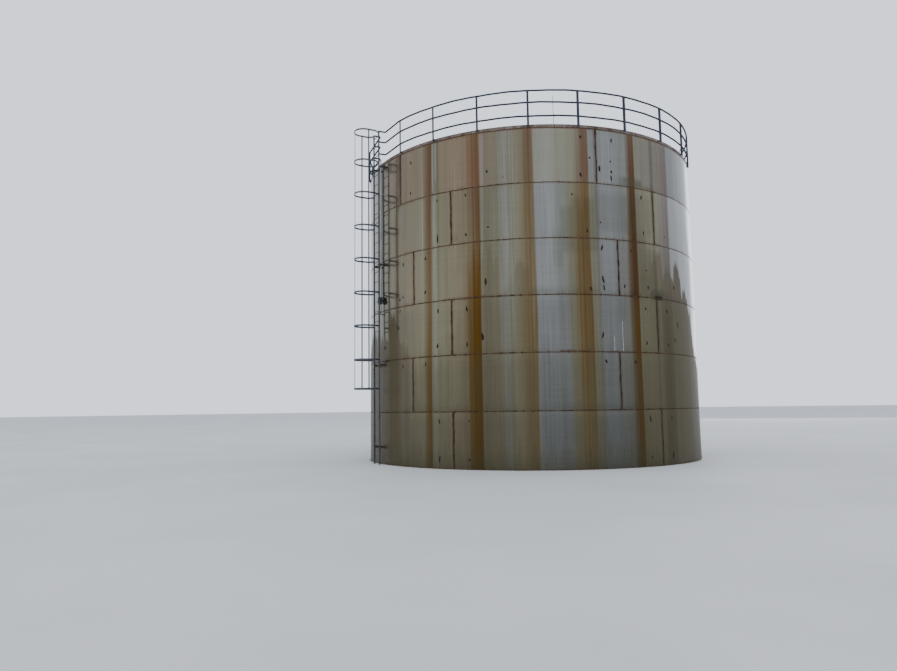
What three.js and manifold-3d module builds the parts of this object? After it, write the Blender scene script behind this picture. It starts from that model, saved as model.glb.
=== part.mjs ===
// Vertical storage tank: a welded stainless shell in six courses of rolled plate,
// with its bottom, cone roof, curb angle, guardrail, caged ladder, manholes and nozzles.
//
// Millimetres, +Z up. The origin is the centre of the bottom plate's underside, on the ground.
// An angle about the axis is counted from -Y, where the ladder stands, towards +X.

import * as THREE from 'three';
import { mergeVertices } from 'three/addons/utils/BufferGeometryUtils.js';
import Module from 'manifold-3d';

const wasm = await Module();
wasm.setup();

// Driving dimensions of the shell
const SHELL_RADIUS = 5250;
const COURSE_HEIGHT = 1500;
const COURSE_THICKNESS = [8, 8, 6, 6, 6, 6];
const FACETS_ROUND = 67;
const FACETS_PER_PLATE = 12;
const FULL_PLATES = 4;
const JOINT_GAP = 0.4;
const SEAT_GAP = 0.3;

// Angle of the first vertical seam of each course, lowest course first
const SEAM_START = [-31.2, -46.3, -31.3, -45.6, -31.1, 12.8];

// Bottom, curb angle and roof
const BOTTOM_THICKNESS = 8;
const BOTTOM_CHINE = 50;
const CURB_LEG = 80;
const CURB_THICKNESS = 8;
const ROOF_THICKNESS = 6;
const ROOF_SETBACK = 10;
const ROOF_SLOPE = 1 / 16;

// Guardrail: a post about every 15 degrees, except the one where the ladder comes up
const BAYS = 24;
const FIRST_POST = 12.4;
// Some posts stand a little off their even places, in degrees
const POST_SHIFT = { 1: 0.9, 2: 0.3, 5: -0.3, 7: 0.7, 8: 1.5 };
const POST_WIDTH = 56;
const POST_DEPTH = 50;
const POST_OVERLAP = 45;
const FOOT_THICKNESS = 6;
const BRACE_WIDTH = 30;
const BRACE_HEIGHT = 200;
// The posts on the far side have a knee brace at the foot
const FIRST_BRACED = 8;
const LAST_BRACED = 16;
const RAIL_RADIUS = 24;
const RAIL_SIDES = 6;
const RAIL_HEIGHTS = [232, 610, 942];
const RAIL_FACETS_PER_BAY = 3;
const RAIL_BEND = 50;
const RAIL_TURN_RADIUS = 5205;
const GUARDRAIL_SECTIONS = 3;
const RIM_FACETS = BAYS * RAIL_FACETS_PER_BAY;

// Ladder and its safety cage
const LADDER_HALF_WIDTH = 200;
const LADDER_RADIUS = 5420;
const LADDER_TOP = 10050;
const STRINGER_DEPTH = 50;
const STRINGER_THICKNESS = 10;
const RUNG_PITCH = 300;
const RUNG_RADIUS = 11;
const RUNG_COUNT = 33;
const STANDOFF_HEIGHTS = [500, 2900, 5900, 8930];
const CAGE_DEPTH = 700;
const CAGE_HALF_WIDTH = 300;
const HOOP_WIDTH = 50;
const HOOP_THICKNESS = 6;
const HOOP_HEIGHTS = [2200, 3050, 4050, 5050, 6050, 7050, 8050, 9050, 9990];
const HOOP_FLARE_START = 30;
const HOOP_FLARE_END = 150;
const CAGE_BAR_WIDTH = 40;
const CAGE_BAR_THICKNESS = 6;

// Manholes, nozzles, vent and rod
const MANHOLE_ANGLE = 165;
const MANHOLE_HEIGHT = 760;
const MANHOLE = { bore: 295, neck: 303, flange: 370, reach: 200, flangeThickness: 20, facets: 24 };
const COVER_THICKNESS = 16;
const INLET = { angle: 200, height: 1150, bore: 77, neck: 84, flange: 142, reach: 180, flangeThickness: 22 };
const OUTLET = { angle: 225, height: 260, bore: 77, neck: 84, flange: 142, reach: 180, flangeThickness: 22 };
const NOZZLE_FACETS = 16;
const ROOF_MANHOLE = { angle: 24, radius: 4250, bore: 290, neck: 298, lid: 330, height: 220, lidThickness: 12 };
const VENT = { bore: 96, neck: 102, height: 320, hood: 190, hoodSkirt: 90, hoodThickness: 5 };
const ROD = { side: 1050, facing: 56, radius: 11, tip: 6, top: 12250, base: 70, baseThickness: 12 };

// Cable conduit beside the ladder, with its junction box
const CONDUIT = { x: 25, radius: 5285, tube: 24, top: 9210, low: 4400, clips: [8100, 7400, 6500, 5500] };
const JUNCTION = { x: 60, width: 120, outer: 5390, inner: 5275, height: 200, middle: 4830 };

// Heights that follow from the driving dimensions
const SHELL_LOW = BOTTOM_THICKNESS;
const COURSES = COURSE_THICKNESS.length;
const SHELL_TOP = SHELL_LOW + COURSES * COURSE_HEIGHT;
const CURB_TOP = SHELL_TOP + CURB_LEG;
const CURB_INNER = SHELL_RADIUS - CURB_LEG;
const POST_RADIUS = SHELL_RADIUS + SEAT_GAP + POST_DEPTH / 2;
const ROOF_EDGE = SHELL_RADIUS - ROOF_SETBACK;
const BAY_ANGLE = 360 / BAYS;
const FACET_ANGLE = 360 / FACETS_ROUND;

const radians = THREE.MathUtils.degToRad;

// Materials, in the colours of the weathered tank
const finishes = {
  stainless: new THREE.MeshStandardMaterial({ color: 0x8b8a84, roughness: 0.42, metalness: 0.85 }),
  stainlessDark: new THREE.MeshStandardMaterial({ color: 0x6f6862, roughness: 0.5, metalness: 0.75 }),
  painted: new THREE.MeshStandardMaterial({ color: 0x434c60, roughness: 0.6, metalness: 0.2 }),
  galvanised: new THREE.MeshStandardMaterial({ color: 0x8a929c, roughness: 0.55, metalness: 0.6 }),
};

// Closed solids for joining and cutting

function solidOf(geometry) {
  const bare = new THREE.BufferGeometry();
  bare.setAttribute('position', geometry.getAttribute('position').clone());
  if (geometry.index) {
    bare.setIndex(geometry.index.clone());
  }
  const merged = mergeVertices(bare, 1e-3);
  const place = merged.getAttribute('position');
  const a = new THREE.Vector3();
  const b = new THREE.Vector3();
  const c = new THREE.Vector3();
  const triangles = [];
  let volume = 0;
  for (let i = 0; i < merged.index.count; i += 3) {
    const corner = [0, 1, 2].map((k) => merged.index.getX(i + k));
    const flat = corner[0] === corner[1] || corner[1] === corner[2] || corner[2] === corner[0];
    if (!flat) {
      a.fromBufferAttribute(place, corner[0]);
      b.fromBufferAttribute(place, corner[1]);
      c.fromBufferAttribute(place, corner[2]);
      volume += a.dot(b.cross(c)) / 6;
      triangles.push(corner);
    }
  }
  const outward = volume > 0 ? triangles : triangles.map(([p, q, r]) => [p, r, q]);
  return new wasm.Manifold(new wasm.Mesh({
    numProp: 3,
    vertProperties: new Float32Array(place.array),
    triVerts: new Uint32Array(outward.flat()),
  }));
}

function geometryOf(solid) {
  const mesh = solid.getMesh();
  const geometry = new THREE.BufferGeometry();
  geometry.setAttribute('position', new THREE.BufferAttribute(new Float32Array(mesh.vertProperties), 3));
  geometry.setIndex(new THREE.BufferAttribute(new Uint32Array(mesh.triVerts), 1));
  geometry.computeVertexNormals();
  return geometry;
}

function joined(geometries) {
  return geometries.map(solidOf).reduce((whole, next) => whole.add(next));
}

// Basic shapes

function polar(radius, angle) {
  return new THREE.Vector2(radius * Math.sin(radians(angle)), -radius * Math.cos(radians(angle)));
}

function block(lowX, highX, lowY, highY, lowZ, highZ) {
  const geometry = new THREE.BoxGeometry(highX - lowX, highY - lowY, highZ - lowZ);
  return geometry.translate((lowX + highX) / 2, (lowY + highY) / 2, (lowZ + highZ) / 2);
}

function extruded(outline, depth) {
  return new THREE.ExtrudeGeometry(new THREE.Shape(outline), { depth, bevelEnabled: false });
}

// Turned about Z: a profile of [radius, height] pairs
function turned(profile, facets) {
  const outline = profile.map(([radius, height]) => new THREE.Vector2(radius, height));
  return new THREE.LatheGeometry(outline, facets).rotateX(Math.PI / 2);
}

// Turned about Z in the rim's facets, with a corner at each post
function turnedAtRim(profile) {
  return turned(profile, RIM_FACETS).rotateZ(radians(FIRST_POST));
}

// A piece made with +X outward from the tank, +Y along the wall and +Z up, turned to its angle
function atAngle(geometry, angle) {
  return geometry.rotateZ(radians(angle - 90));
}

// A piece turned about its own axis, laid so that the axis points out of the tank along +X
function laidOutward(geometry) {
  return geometry.rotateY(Math.PI / 2);
}

// A path through given points, with a step at each of them and, where given, its own end directions
class StationCurve extends THREE.Curve {
  constructor(points, ends) {
    super();
    this.points = points;
    this.ends = ends;
  }

  getPoint(t) {
    const spans = this.points.length - 1;
    const span = Math.min(Math.floor(t * spans), spans - 1);
    return this.points[span].clone().lerp(this.points[span + 1], t * spans - span);
  }

  getTangent(t) {
    const spans = this.points.length - 1;
    const station = Math.round(t * spans);
    if (station === 0 && this.ends.start) {
      return this.ends.start.clone();
    }
    if (station === spans && this.ends.finish) {
      return this.ends.finish.clone();
    }
    const before = this.points[Math.max(station - 1, 0)];
    const here = this.points[station];
    const after = this.points[Math.min(station + 1, spans)];
    const arriving = here.clone().sub(before).normalize();
    const leaving = after.clone().sub(here).normalize();
    return arriving.add(leaving).normalize();
  }

  getUtoTmapping(u) {
    return u;
  }
}

function tube(points, radius, sides, ends = {}) {
  const section = [];
  for (let i = 0; i < sides; i += 1) {
    const turn = (2 * Math.PI * (i + 0.5)) / sides;
    section.push(new THREE.Vector2(radius * Math.cos(turn), radius * Math.sin(turn)));
  }
  return new THREE.ExtrudeGeometry(new THREE.Shape(section), {
    steps: points.length - 1,
    bevelEnabled: false,
    extrudePath: new StationCurve(points, ends),
  });
}

// Shell

// The angles of the corners of a plate, or of a whole course
function courseAngles(course, firstFacet, facets) {
  const angles = [];
  for (let i = 0; i <= facets; i += 1) {
    angles.push(SEAM_START[course] + (firstFacet + i) * FACET_ANGLE);
  }
  return angles;
}

function courseLow(course) {
  return SHELL_LOW + course * COURSE_HEIGHT;
}

function rolledPlate(course, firstFacet, facets) {
  const angles = courseAngles(course, firstFacet, facets);
  const halfGap = THREE.MathUtils.radToDeg(JOINT_GAP / 2 / SHELL_RADIUS);
  angles[0] += halfGap;
  angles[angles.length - 1] -= halfGap;
  const inner = SHELL_RADIUS - COURSE_THICKNESS[course];
  const outside = angles.map((angle) => polar(SHELL_RADIUS, angle));
  const inside = angles.map((angle) => polar(inner, angle)).reverse();
  return extruded([...outside, ...inside], COURSE_HEIGHT).translate(0, 0, courseLow(course));
}

// The space that the shell fills at one course, a little grown, for cutting what seats on it
function courseCore(course) {
  const angles = courseAngles(course, 0, FACETS_ROUND - 1);
  const outline = angles.map((angle) => polar(SHELL_RADIUS + SEAT_GAP, angle));
  return extruded(outline, COURSE_HEIGHT).translate(0, 0, courseLow(course));
}

function shellCore() {
  return COURSE_THICKNESS.map((thickness, course) => solidOf(courseCore(course)))
    .reduce((whole, next) => whole.add(next));
}

function neckHole(opening, angle, height) {
  const radius = opening.neck + SEAT_GAP;
  const hole = new THREE.CylinderGeometry(radius, radius, 1000, opening.facets ?? NOZZLE_FACETS);
  const outward = hole.rotateZ(Math.PI / 2).translate(SHELL_RADIUS, 0, height);
  return solidOf(atAngle(outward, angle));
}

function shellPlates() {
  const holes = [
    neckHole(MANHOLE, MANHOLE_ANGLE, MANHOLE_HEIGHT),
    neckHole(INLET, INLET.angle, INLET.height),
    neckHole(OUTLET, OUTLET.angle, OUTLET.height),
  ].reduce((whole, next) => whole.add(next));
  const plates = [];
  for (let course = 0; course < COURSES; course += 1) {
    for (let plate = 0; plate <= FULL_PLATES; plate += 1) {
      const firstFacet = plate * FACETS_PER_PLATE;
      const facets = plate < FULL_PLATES ? FACETS_PER_PLATE : FACETS_ROUND - firstFacet;
      const rolled = rolledPlate(course, firstFacet, facets);
      const geometry = course === 0 ? geometryOf(solidOf(rolled).subtract(holes)) : rolled;
      plates.push({ name: `shell_course_${course + 1}_plate_${plate + 1}`, geometry });
    }
  }
  return plates;
}

// Bottom, curb angle and roof

function bottomPlate() {
  const radius = SHELL_RADIUS + BOTTOM_CHINE;
  return turned([[0, 0], [radius, 0], [radius, BOTTOM_THICKNESS], [0, BOTTOM_THICKNESS]], FACETS_ROUND);
}

// An angle bar rolled round the rim: one leg carries the shell on upward, the other lies inward
function curbAngle() {
  const legInner = SHELL_RADIUS - CURB_THICKNESS;
  const underLeg = CURB_TOP - CURB_THICKNESS;
  return turnedAtRim([
    [legInner, SHELL_TOP],
    [SHELL_RADIUS, SHELL_TOP],
    [SHELL_RADIUS, CURB_TOP],
    [CURB_INNER, CURB_TOP],
    [CURB_INNER, underLeg],
    [legInner, underLeg],
    [legInner, SHELL_TOP],
  ]);
}

const roofRise = CURB_INNER * ROOF_SLOPE;
const roofTop = CURB_TOP + ROOF_THICKNESS;

// The space below the roof's upper face, a little grown, for cutting what stands on it
function roofCore() {
  return solidOf(turnedAtRim([
    [0, CURB_TOP - 100],
    [ROOF_EDGE, CURB_TOP - 100],
    [ROOF_EDGE, roofTop + SEAT_GAP],
    [CURB_INNER, roofTop + SEAT_GAP],
    [0, roofTop + roofRise + SEAT_GAP],
  ]));
}

function roofPlate() {
  const cone = solidOf(turnedAtRim([
    [0, CURB_TOP + roofRise],
    [CURB_INNER, CURB_TOP],
    [ROOF_EDGE, CURB_TOP],
    [ROOF_EDGE, roofTop],
    [CURB_INNER, roofTop],
    [0, roofTop + roofRise],
  ]));
  const { x, y } = polar(ROOF_MANHOLE.radius, ROOF_MANHOLE.angle);
  const manway = upright(ROOF_MANHOLE.bore, CURB_TOP - 100, roofTop + 1000, MANHOLE.facets).translate(x, y, 0);
  const ventBore = upright(VENT.bore, CURB_TOP - 100, roofTop + 1000, NOZZLE_FACETS);
  return geometryOf(cone.subtract(solidOf(manway)).subtract(solidOf(ventBore)));
}

function upright(radius, low, high, facets) {
  return new THREE.CylinderGeometry(radius, radius, high - low, facets)
    .rotateX(Math.PI / 2)
    .translate(0, 0, (low + high) / 2);
}

function roofHeightAt(radius) {
  return roofTop + (CURB_INNER - radius) * ROOF_SLOPE;
}

function roofManhole() {
  const { x, y } = polar(ROOF_MANHOLE.radius, ROOF_MANHOLE.angle);
  const high = roofHeightAt(ROOF_MANHOLE.radius) + ROOF_MANHOLE.height;
  const neck = turned([
    [ROOF_MANHOLE.bore, CURB_TOP],
    [ROOF_MANHOLE.neck, CURB_TOP],
    [ROOF_MANHOLE.neck, high],
    [ROOF_MANHOLE.bore, high],
    [ROOF_MANHOLE.bore, CURB_TOP],
  ], MANHOLE.facets).translate(x, y, 0);
  return geometryOf(solidOf(neck).subtract(roofCore()));
}

function roofManholeLid() {
  const { x, y } = polar(ROOF_MANHOLE.radius, ROOF_MANHOLE.angle);
  const seat = roofHeightAt(ROOF_MANHOLE.radius) + ROOF_MANHOLE.height;
  return upright(ROOF_MANHOLE.lid, seat, seat + ROOF_MANHOLE.lidThickness, MANHOLE.facets).translate(x, y, 0);
}

// The vent's neck is open to the tank, and its hood hangs over it on a crossbar
function roofVent() {
  const high = roofHeightAt(0) + VENT.height;
  const hoodTop = high + VENT.hoodSkirt;
  const neck = solidOf(turned([
    [VENT.bore, CURB_TOP],
    [VENT.neck, CURB_TOP],
    [VENT.neck, high],
    [VENT.bore, high],
    [VENT.bore, CURB_TOP],
  ], NOZZLE_FACETS)).subtract(roofCore());
  const hood = turned([
    [0, hoodTop],
    [VENT.hood * 0.55, hoodTop - VENT.hoodSkirt * 0.25],
    [VENT.hood, high - VENT.hoodSkirt * 0.3],
    [VENT.hood - VENT.hoodThickness, high - VENT.hoodSkirt * 0.3],
    [VENT.hood * 0.55, hoodTop - VENT.hoodSkirt * 0.25 - VENT.hoodThickness],
    [0, hoodTop - VENT.hoodThickness],
  ], NOZZLE_FACETS);
  const strutHigh = hoodTop - VENT.hoodSkirt * 0.25 - VENT.hoodThickness / 2;
  const reach = VENT.neck - 1;
  const struts = [0, 90].map((turn) => block(-reach, reach, -10, 10, high - 30, strutHigh)
    .rotateZ(radians(turn)));
  return geometryOf(neck.add(solidOf(hood)).add(joined(struts)));
}

// Rod on the roof, a little off the centre

function lightningRod() {
  const x = ROD.side * Math.cos(radians(ROD.facing));
  const y = ROD.side * Math.sin(radians(ROD.facing));
  const seat = roofHeightAt(ROD.side);
  const rod = turned([
    [0, CURB_TOP],
    [ROD.base, CURB_TOP],
    [ROD.base, seat + ROD.baseThickness],
    [ROD.radius, seat + ROD.baseThickness],
    [ROD.tip, ROD.top],
    [0, ROD.top],
  ], 8).translate(x, y, 0);
  return geometryOf(solidOf(rod).subtract(roofCore()));
}

// Guardrail

function guardrailPost(post) {
  const inner = POST_RADIUS - POST_DEPTH / 2;
  const outer = POST_RADIUS + POST_DEPTH / 2;
  const half = POST_WIDTH / 2;
  const topRail = CURB_TOP + RAIL_HEIGHTS[RAIL_HEIGHTS.length - 1];
  const footInner = CURB_INNER + 12;
  const footTop = roofTop + FOOT_THICKNESS;
  const pieces = [block(inner, outer, -half, half, CURB_TOP - POST_OVERLAP, topRail)];
  pieces.push(block(footInner, inner + 10, -(half - 4), half - 4, roofTop, footTop));
  const brace = extruded([
    new THREE.Vector2(footInner + 3, footTop - 2),
    new THREE.Vector2(footInner + 17, footTop - 2),
    new THREE.Vector2(inner + 10, CURB_TOP + BRACE_HEIGHT - 30),
    new THREE.Vector2(inner + 10, CURB_TOP + BRACE_HEIGHT),
  ], BRACE_WIDTH).rotateX(Math.PI / 2).translate(0, BRACE_WIDTH / 2, 0);
  if (post >= FIRST_BRACED && post <= LAST_BRACED) {
    pieces.push(brace);
  }
  const angle = postAngle(post) + (POST_SHIFT[post] ?? 0);
  return pieces.map((geometry) => atAngle(geometry, angle));
}

function railPoint(angle, height) {
  const { x, y } = polar(POST_RADIUS, angle);
  return new THREE.Vector3(x, y, height);
}

// From the last post the rail runs straight to the ladder's line and turns out to the stringer
function railEnd(side, height) {
  const endY = -(LADDER_RADIUS - STRINGER_DEPTH / 2 - SEAT_GAP);
  const points = [];
  for (let i = 0; i <= 3; i += 1) {
    const turn = (i / 3) * (Math.PI / 2);
    const x = LADDER_HALF_WIDTH + RAIL_BEND * (1 - Math.sin(turn));
    const y = -RAIL_TURN_RADIUS - RAIL_BEND * (1 - Math.cos(turn));
    points.push(new THREE.Vector3(side * x, y, height));
  }
  points.push(new THREE.Vector3(side * LADDER_HALF_WIDTH, endY, height));
  return points;
}

function alongRail(angle) {
  return new THREE.Vector3(Math.cos(radians(angle)), Math.sin(radians(angle)), 0);
}

// The posts are numbered 1 to 23 round from the ladder, and each section carries about a third of them
function postAngle(post) {
  return FIRST_POST + (post - 1) * BAY_ANGLE;
}

const POSTS = BAYS - 1;
const POSTS_PER_SECTION = Math.ceil(POSTS / GUARDRAIL_SECTIONS);

// Sections meet in the middle of a bay
function rail(section, height) {
  const firstPost = section * POSTS_PER_SECTION + 1;
  const lastPost = Math.min(firstPost + POSTS_PER_SECTION - 1, POSTS);
  const halfGap = THREE.MathUtils.radToDeg(JOINT_GAP / 2 / POST_RADIUS);
  const startsAtLadder = firstPost === 1;
  const endsAtLadder = lastPost === POSTS;
  const facet = BAY_ANGLE / RAIL_FACETS_PER_BAY;
  const angles = [];
  if (!startsAtLadder) {
    angles.push(postAngle(firstPost) - BAY_ANGLE / 2 + halfGap);
    angles.push(postAngle(firstPost) - facet);
  }
  const facets = (lastPost - firstPost) * RAIL_FACETS_PER_BAY;
  for (let i = 0; i <= facets; i += 1) {
    angles.push(postAngle(firstPost) + i * facet);
  }
  if (!endsAtLadder) {
    angles.push(postAngle(lastPost) + facet);
    angles.push(postAngle(lastPost) + BAY_ANGLE / 2 - halfGap);
  }
  const points = angles.map((angle) => railPoint(angle, height));
  const ends = { start: alongRail(angles[0]), finish: alongRail(angles[angles.length - 1]) };
  if (startsAtLadder) {
    points.unshift(...railEnd(1, height).reverse());
    ends.start = null;
  }
  if (endsAtLadder) {
    points.push(...railEnd(-1, height));
    ends.finish = null;
  }
  return tube(points, RAIL_RADIUS, RAIL_SIDES, ends);
}

function guardrail(section) {
  const pieces = RAIL_HEIGHTS.map((height) => rail(section, CURB_TOP + height));
  const firstPost = section * POSTS_PER_SECTION + 1;
  for (let post = firstPost; post < firstPost + POSTS_PER_SECTION && post <= POSTS; post += 1) {
    pieces.push(...guardrailPost(post));
  }
  return geometryOf(joined(pieces));
}

// Ladder

function ladder() {
  const innerY = -(LADDER_RADIUS - STRINGER_DEPTH / 2);
  const outerY = -(LADDER_RADIUS + STRINGER_DEPTH / 2);
  const near = LADDER_HALF_WIDTH - STRINGER_THICKNESS / 2;
  const far = LADDER_HALF_WIDTH + STRINGER_THICKNESS / 2;
  const pieces = [];
  for (const side of [-1, 1]) {
    const edges = [side * near, side * far].sort((p, q) => p - q);
    pieces.push(block(edges[0], edges[1], outerY, innerY, 0, LADDER_TOP));
    for (const height of STANDOFF_HEIGHTS) {
      pieces.push(block(edges[0], edges[1], innerY - 10, -(SHELL_RADIUS - 60), height - 30, height + 30));
    }
  }
  for (let i = 1; i <= RUNG_COUNT; i += 1) {
    const rung = new THREE.CylinderGeometry(RUNG_RADIUS, RUNG_RADIUS, 2 * LADDER_HALF_WIDTH, 6);
    pieces.push(rung.rotateZ(Math.PI / 2).translate(0, -LADDER_RADIUS, i * RUNG_PITCH));
  }
  return geometryOf(joined(pieces).subtract(shellCore()));
}

// The half outline of a hoop, from the stringer's outer face to the apex, at an offset outward
function hoopHalf(offset) {
  const stringerFace = LADDER_HALF_WIDTH + STRINGER_THICKNESS / 2;
  const centre = LADDER_RADIUS + CAGE_DEPTH - CAGE_HALF_WIDTH;
  const points = [
    new THREE.Vector2(stringerFace + offset, -(LADDER_RADIUS - STRINGER_DEPTH / 2 + 5)),
    new THREE.Vector2(stringerFace + offset, -(LADDER_RADIUS + HOOP_FLARE_START)),
    new THREE.Vector2(CAGE_HALF_WIDTH - HOOP_THICKNESS + offset, -(LADDER_RADIUS + HOOP_FLARE_END)),
  ];
  const radius = CAGE_HALF_WIDTH - HOOP_THICKNESS + offset;
  const steps = 5;
  for (let i = 0; i < steps; i += 1) {
    const turn = (i / steps) * (Math.PI / 2);
    points.push(new THREE.Vector2(radius * Math.cos(turn), -(centre + radius * Math.sin(turn))));
  }
  points.push(new THREE.Vector2(0, -(centre + radius)));
  return points;
}

function hoop(height) {
  const mirrored = (points) => points.slice(0, -1).reverse().map((p) => new THREE.Vector2(-p.x, p.y));
  const outside = hoopHalf(HOOP_THICKNESS);
  const inside = hoopHalf(0);
  const outline = [
    ...outside,
    ...mirrored(outside),
    ...mirrored(inside).reverse(),
    ...inside.slice().reverse(),
  ];
  return extruded(outline, HOOP_WIDTH).translate(0, 0, height - HOOP_WIDTH / 2);
}

function ladderCage() {
  const low = HOOP_HEIGHTS[0] - HOOP_WIDTH / 2;
  const high = HOOP_HEIGHTS[HOOP_HEIGHTS.length - 1] + HOOP_WIDTH / 2;
  const apex = LADDER_RADIUS + CAGE_DEPTH - HOOP_THICKNESS;
  const inner = CAGE_HALF_WIDTH - HOOP_THICKNESS;
  const sideY = -(LADDER_RADIUS + CAGE_DEPTH - CAGE_HALF_WIDTH - 40);
  const halfBar = CAGE_BAR_WIDTH / 2;
  const bars = [
    block(-halfBar, halfBar, -(apex + 1), -(apex - CAGE_BAR_THICKNESS), low, high),
    block(inner - CAGE_BAR_THICKNESS, inner + 1, sideY - halfBar, sideY + halfBar, low, high),
    block(-(inner + 1), -(inner - CAGE_BAR_THICKNESS), sideY - halfBar, sideY + halfBar, low, high),
  ];
  return geometryOf(joined([...HOOP_HEIGHTS.map(hoop), ...bars]));
}

// Manhole and nozzles in the lowest course

function shellManhole() {
  const face = SHELL_RADIUS + MANHOLE.reach;
  const neck = laidOutward(turned([
    [MANHOLE.bore, SHELL_RADIUS - 60],
    [MANHOLE.neck, SHELL_RADIUS - 60],
    [MANHOLE.neck, face - MANHOLE.flangeThickness],
    [MANHOLE.flange, face - MANHOLE.flangeThickness],
    [MANHOLE.flange, face],
    [MANHOLE.bore, face],
    [MANHOLE.bore, SHELL_RADIUS - 60],
  ], MANHOLE.facets)).translate(0, 0, MANHOLE_HEIGHT);
  return atAngle(neck, MANHOLE_ANGLE);
}

function manholeCover() {
  const face = SHELL_RADIUS + MANHOLE.reach + SEAT_GAP;
  const cover = laidOutward(turned([
    [0, face],
    [MANHOLE.flange, face],
    [MANHOLE.flange, face + COVER_THICKNESS],
    [0, face + COVER_THICKNESS],
  ], MANHOLE.facets)).translate(0, 0, MANHOLE_HEIGHT);
  return atAngle(cover, MANHOLE_ANGLE);
}

// A pipe stub with a blind flange: open to the tank, closed outside
function nozzle(opening) {
  const face = SHELL_RADIUS + opening.reach;
  const seat = face - 2 * opening.flangeThickness;
  const stub = laidOutward(turned([
    [0, seat],
    [opening.bore, seat],
    [opening.bore, SHELL_RADIUS - 40],
    [opening.neck, SHELL_RADIUS - 40],
    [opening.neck, seat],
    [opening.flange, seat],
    [opening.flange, face],
    [0, face],
  ], NOZZLE_FACETS)).translate(0, 0, opening.height);
  return atAngle(stub, opening.angle);
}

// Conduit and junction box

function conduit() {
  const y = -CONDUIT.radius;
  const boxTop = JUNCTION.middle + JUNCTION.height / 2;
  const line = new THREE.CylinderGeometry(CONDUIT.tube, CONDUIT.tube, CONDUIT.top - boxTop - SEAT_GAP, 8)
    .rotateX(Math.PI / 2)
    .translate(CONDUIT.x, y, (CONDUIT.top + boxTop + SEAT_GAP) / 2);
  const clips = CONDUIT.clips.map((height) => block(
    CONDUIT.x - 6, CONDUIT.x + 6, y, -(SHELL_RADIUS - 40), height - 25, height + 25,
  ));
  return geometryOf(joined([line, ...clips]).subtract(shellCore()));
}

function junctionBox() {
  const halfWidth = JUNCTION.width / 2;
  const halfHeight = JUNCTION.height / 2;
  const low = JUNCTION.middle - halfHeight;
  const y = -CONDUIT.radius;
  const box = block(
    JUNCTION.x - halfWidth, JUNCTION.x + halfWidth, -JUNCTION.outer, -JUNCTION.inner, low, low + JUNCTION.height,
  );
  const bracket = block(
    JUNCTION.x - 30, JUNCTION.x + 30, y - 10, -(SHELL_RADIUS - 40), JUNCTION.middle - 30, JUNCTION.middle + 30,
  );
  const tail = block(JUNCTION.x - 12, JUNCTION.x + 12, -5320, -5296, CONDUIT.low, low + 5);
  const foot = block(
    JUNCTION.x - 12, JUNCTION.x + 12, -5320, -(SHELL_RADIUS - 40), CONDUIT.low, CONDUIT.low + 24,
  );
  return geometryOf(joined([box, bracket, tail, foot]).subtract(shellCore()));
}

// The whole tank

const tank = new THREE.Group();

function addPiece(name, geometry, material) {
  const mesh = new THREE.Mesh(geometry, material);
  mesh.name = name;
  tank.add(mesh);
}

addPiece('bottom_plate', bottomPlate(), finishes.stainlessDark);
for (const plate of shellPlates()) {
  addPiece(plate.name, plate.geometry, finishes.stainless);
}
addPiece('curb_angle', curbAngle(), finishes.stainlessDark);
addPiece('roof_plate', roofPlate(), finishes.stainless);
addPiece('roof_vent', roofVent(), finishes.stainless);
addPiece('roof_manhole', roofManhole(), finishes.stainless);
addPiece('roof_manhole_lid', roofManholeLid(), finishes.stainless);
addPiece('lightning_rod', lightningRod(), finishes.galvanised);
for (let section = 0; section < GUARDRAIL_SECTIONS; section += 1) {
  addPiece(`guardrail_${section + 1}`, guardrail(section), finishes.painted);
}
addPiece('ladder', ladder(), finishes.painted);
addPiece('ladder_cage', ladderCage(), finishes.painted);
addPiece('shell_manhole', shellManhole(), finishes.stainless);
addPiece('manhole_cover', manholeCover(), finishes.stainlessDark);
addPiece('inlet_nozzle', nozzle(INLET), finishes.stainless);
addPiece('outlet_nozzle', nozzle(OUTLET), finishes.stainless);
addPiece('conduit', conduit(), finishes.galvanised);
addPiece('junction_box', junctionBox(), finishes.galvanised);

export default tank;
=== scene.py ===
import math
import random

import bpy
import numpy as np
from mathutils import Matrix, Vector


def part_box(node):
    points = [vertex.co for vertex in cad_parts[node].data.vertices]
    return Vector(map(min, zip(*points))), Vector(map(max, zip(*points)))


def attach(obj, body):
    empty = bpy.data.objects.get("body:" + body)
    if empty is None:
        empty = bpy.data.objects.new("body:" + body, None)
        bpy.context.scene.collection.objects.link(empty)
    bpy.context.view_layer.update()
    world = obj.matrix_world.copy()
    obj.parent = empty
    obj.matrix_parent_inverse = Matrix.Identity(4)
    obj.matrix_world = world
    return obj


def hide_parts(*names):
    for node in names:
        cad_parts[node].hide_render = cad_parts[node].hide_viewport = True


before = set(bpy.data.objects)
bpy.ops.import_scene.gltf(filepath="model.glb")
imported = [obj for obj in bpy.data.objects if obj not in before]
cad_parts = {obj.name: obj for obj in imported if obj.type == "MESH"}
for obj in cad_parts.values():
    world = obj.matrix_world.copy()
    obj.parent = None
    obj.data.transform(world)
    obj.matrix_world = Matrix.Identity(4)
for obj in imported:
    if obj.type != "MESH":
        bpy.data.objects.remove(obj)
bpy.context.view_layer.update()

# Weathered stainless storage tank. Metres, +Z up.
# Angles about the tank's axis are in degrees from -Y, where the ladder stands, towards +X.

# Driving dimensions
SHELL_RADIUS = 5.25
COURSES = 6
PLATES = 5
SHELL_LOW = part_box("bottom_plate")[1].z
SHELL_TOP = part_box("curb_angle")[0].z
CURB_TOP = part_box("curb_angle")[1].z
COURSE_HEIGHT = (SHELL_TOP - SHELL_LOW) / COURSES
COURSE_THICKNESS = [0.008, 0.008, 0.006, 0.006, 0.006, 0.006]
SEAM_START = [-31.2, -46.3, -31.3, -45.6, -31.1, 12.8]
# The plain shell has 67 flat facets, and a full plate spans 12 of them
PLATE_ANGLE = 12 * 360 / 67

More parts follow.
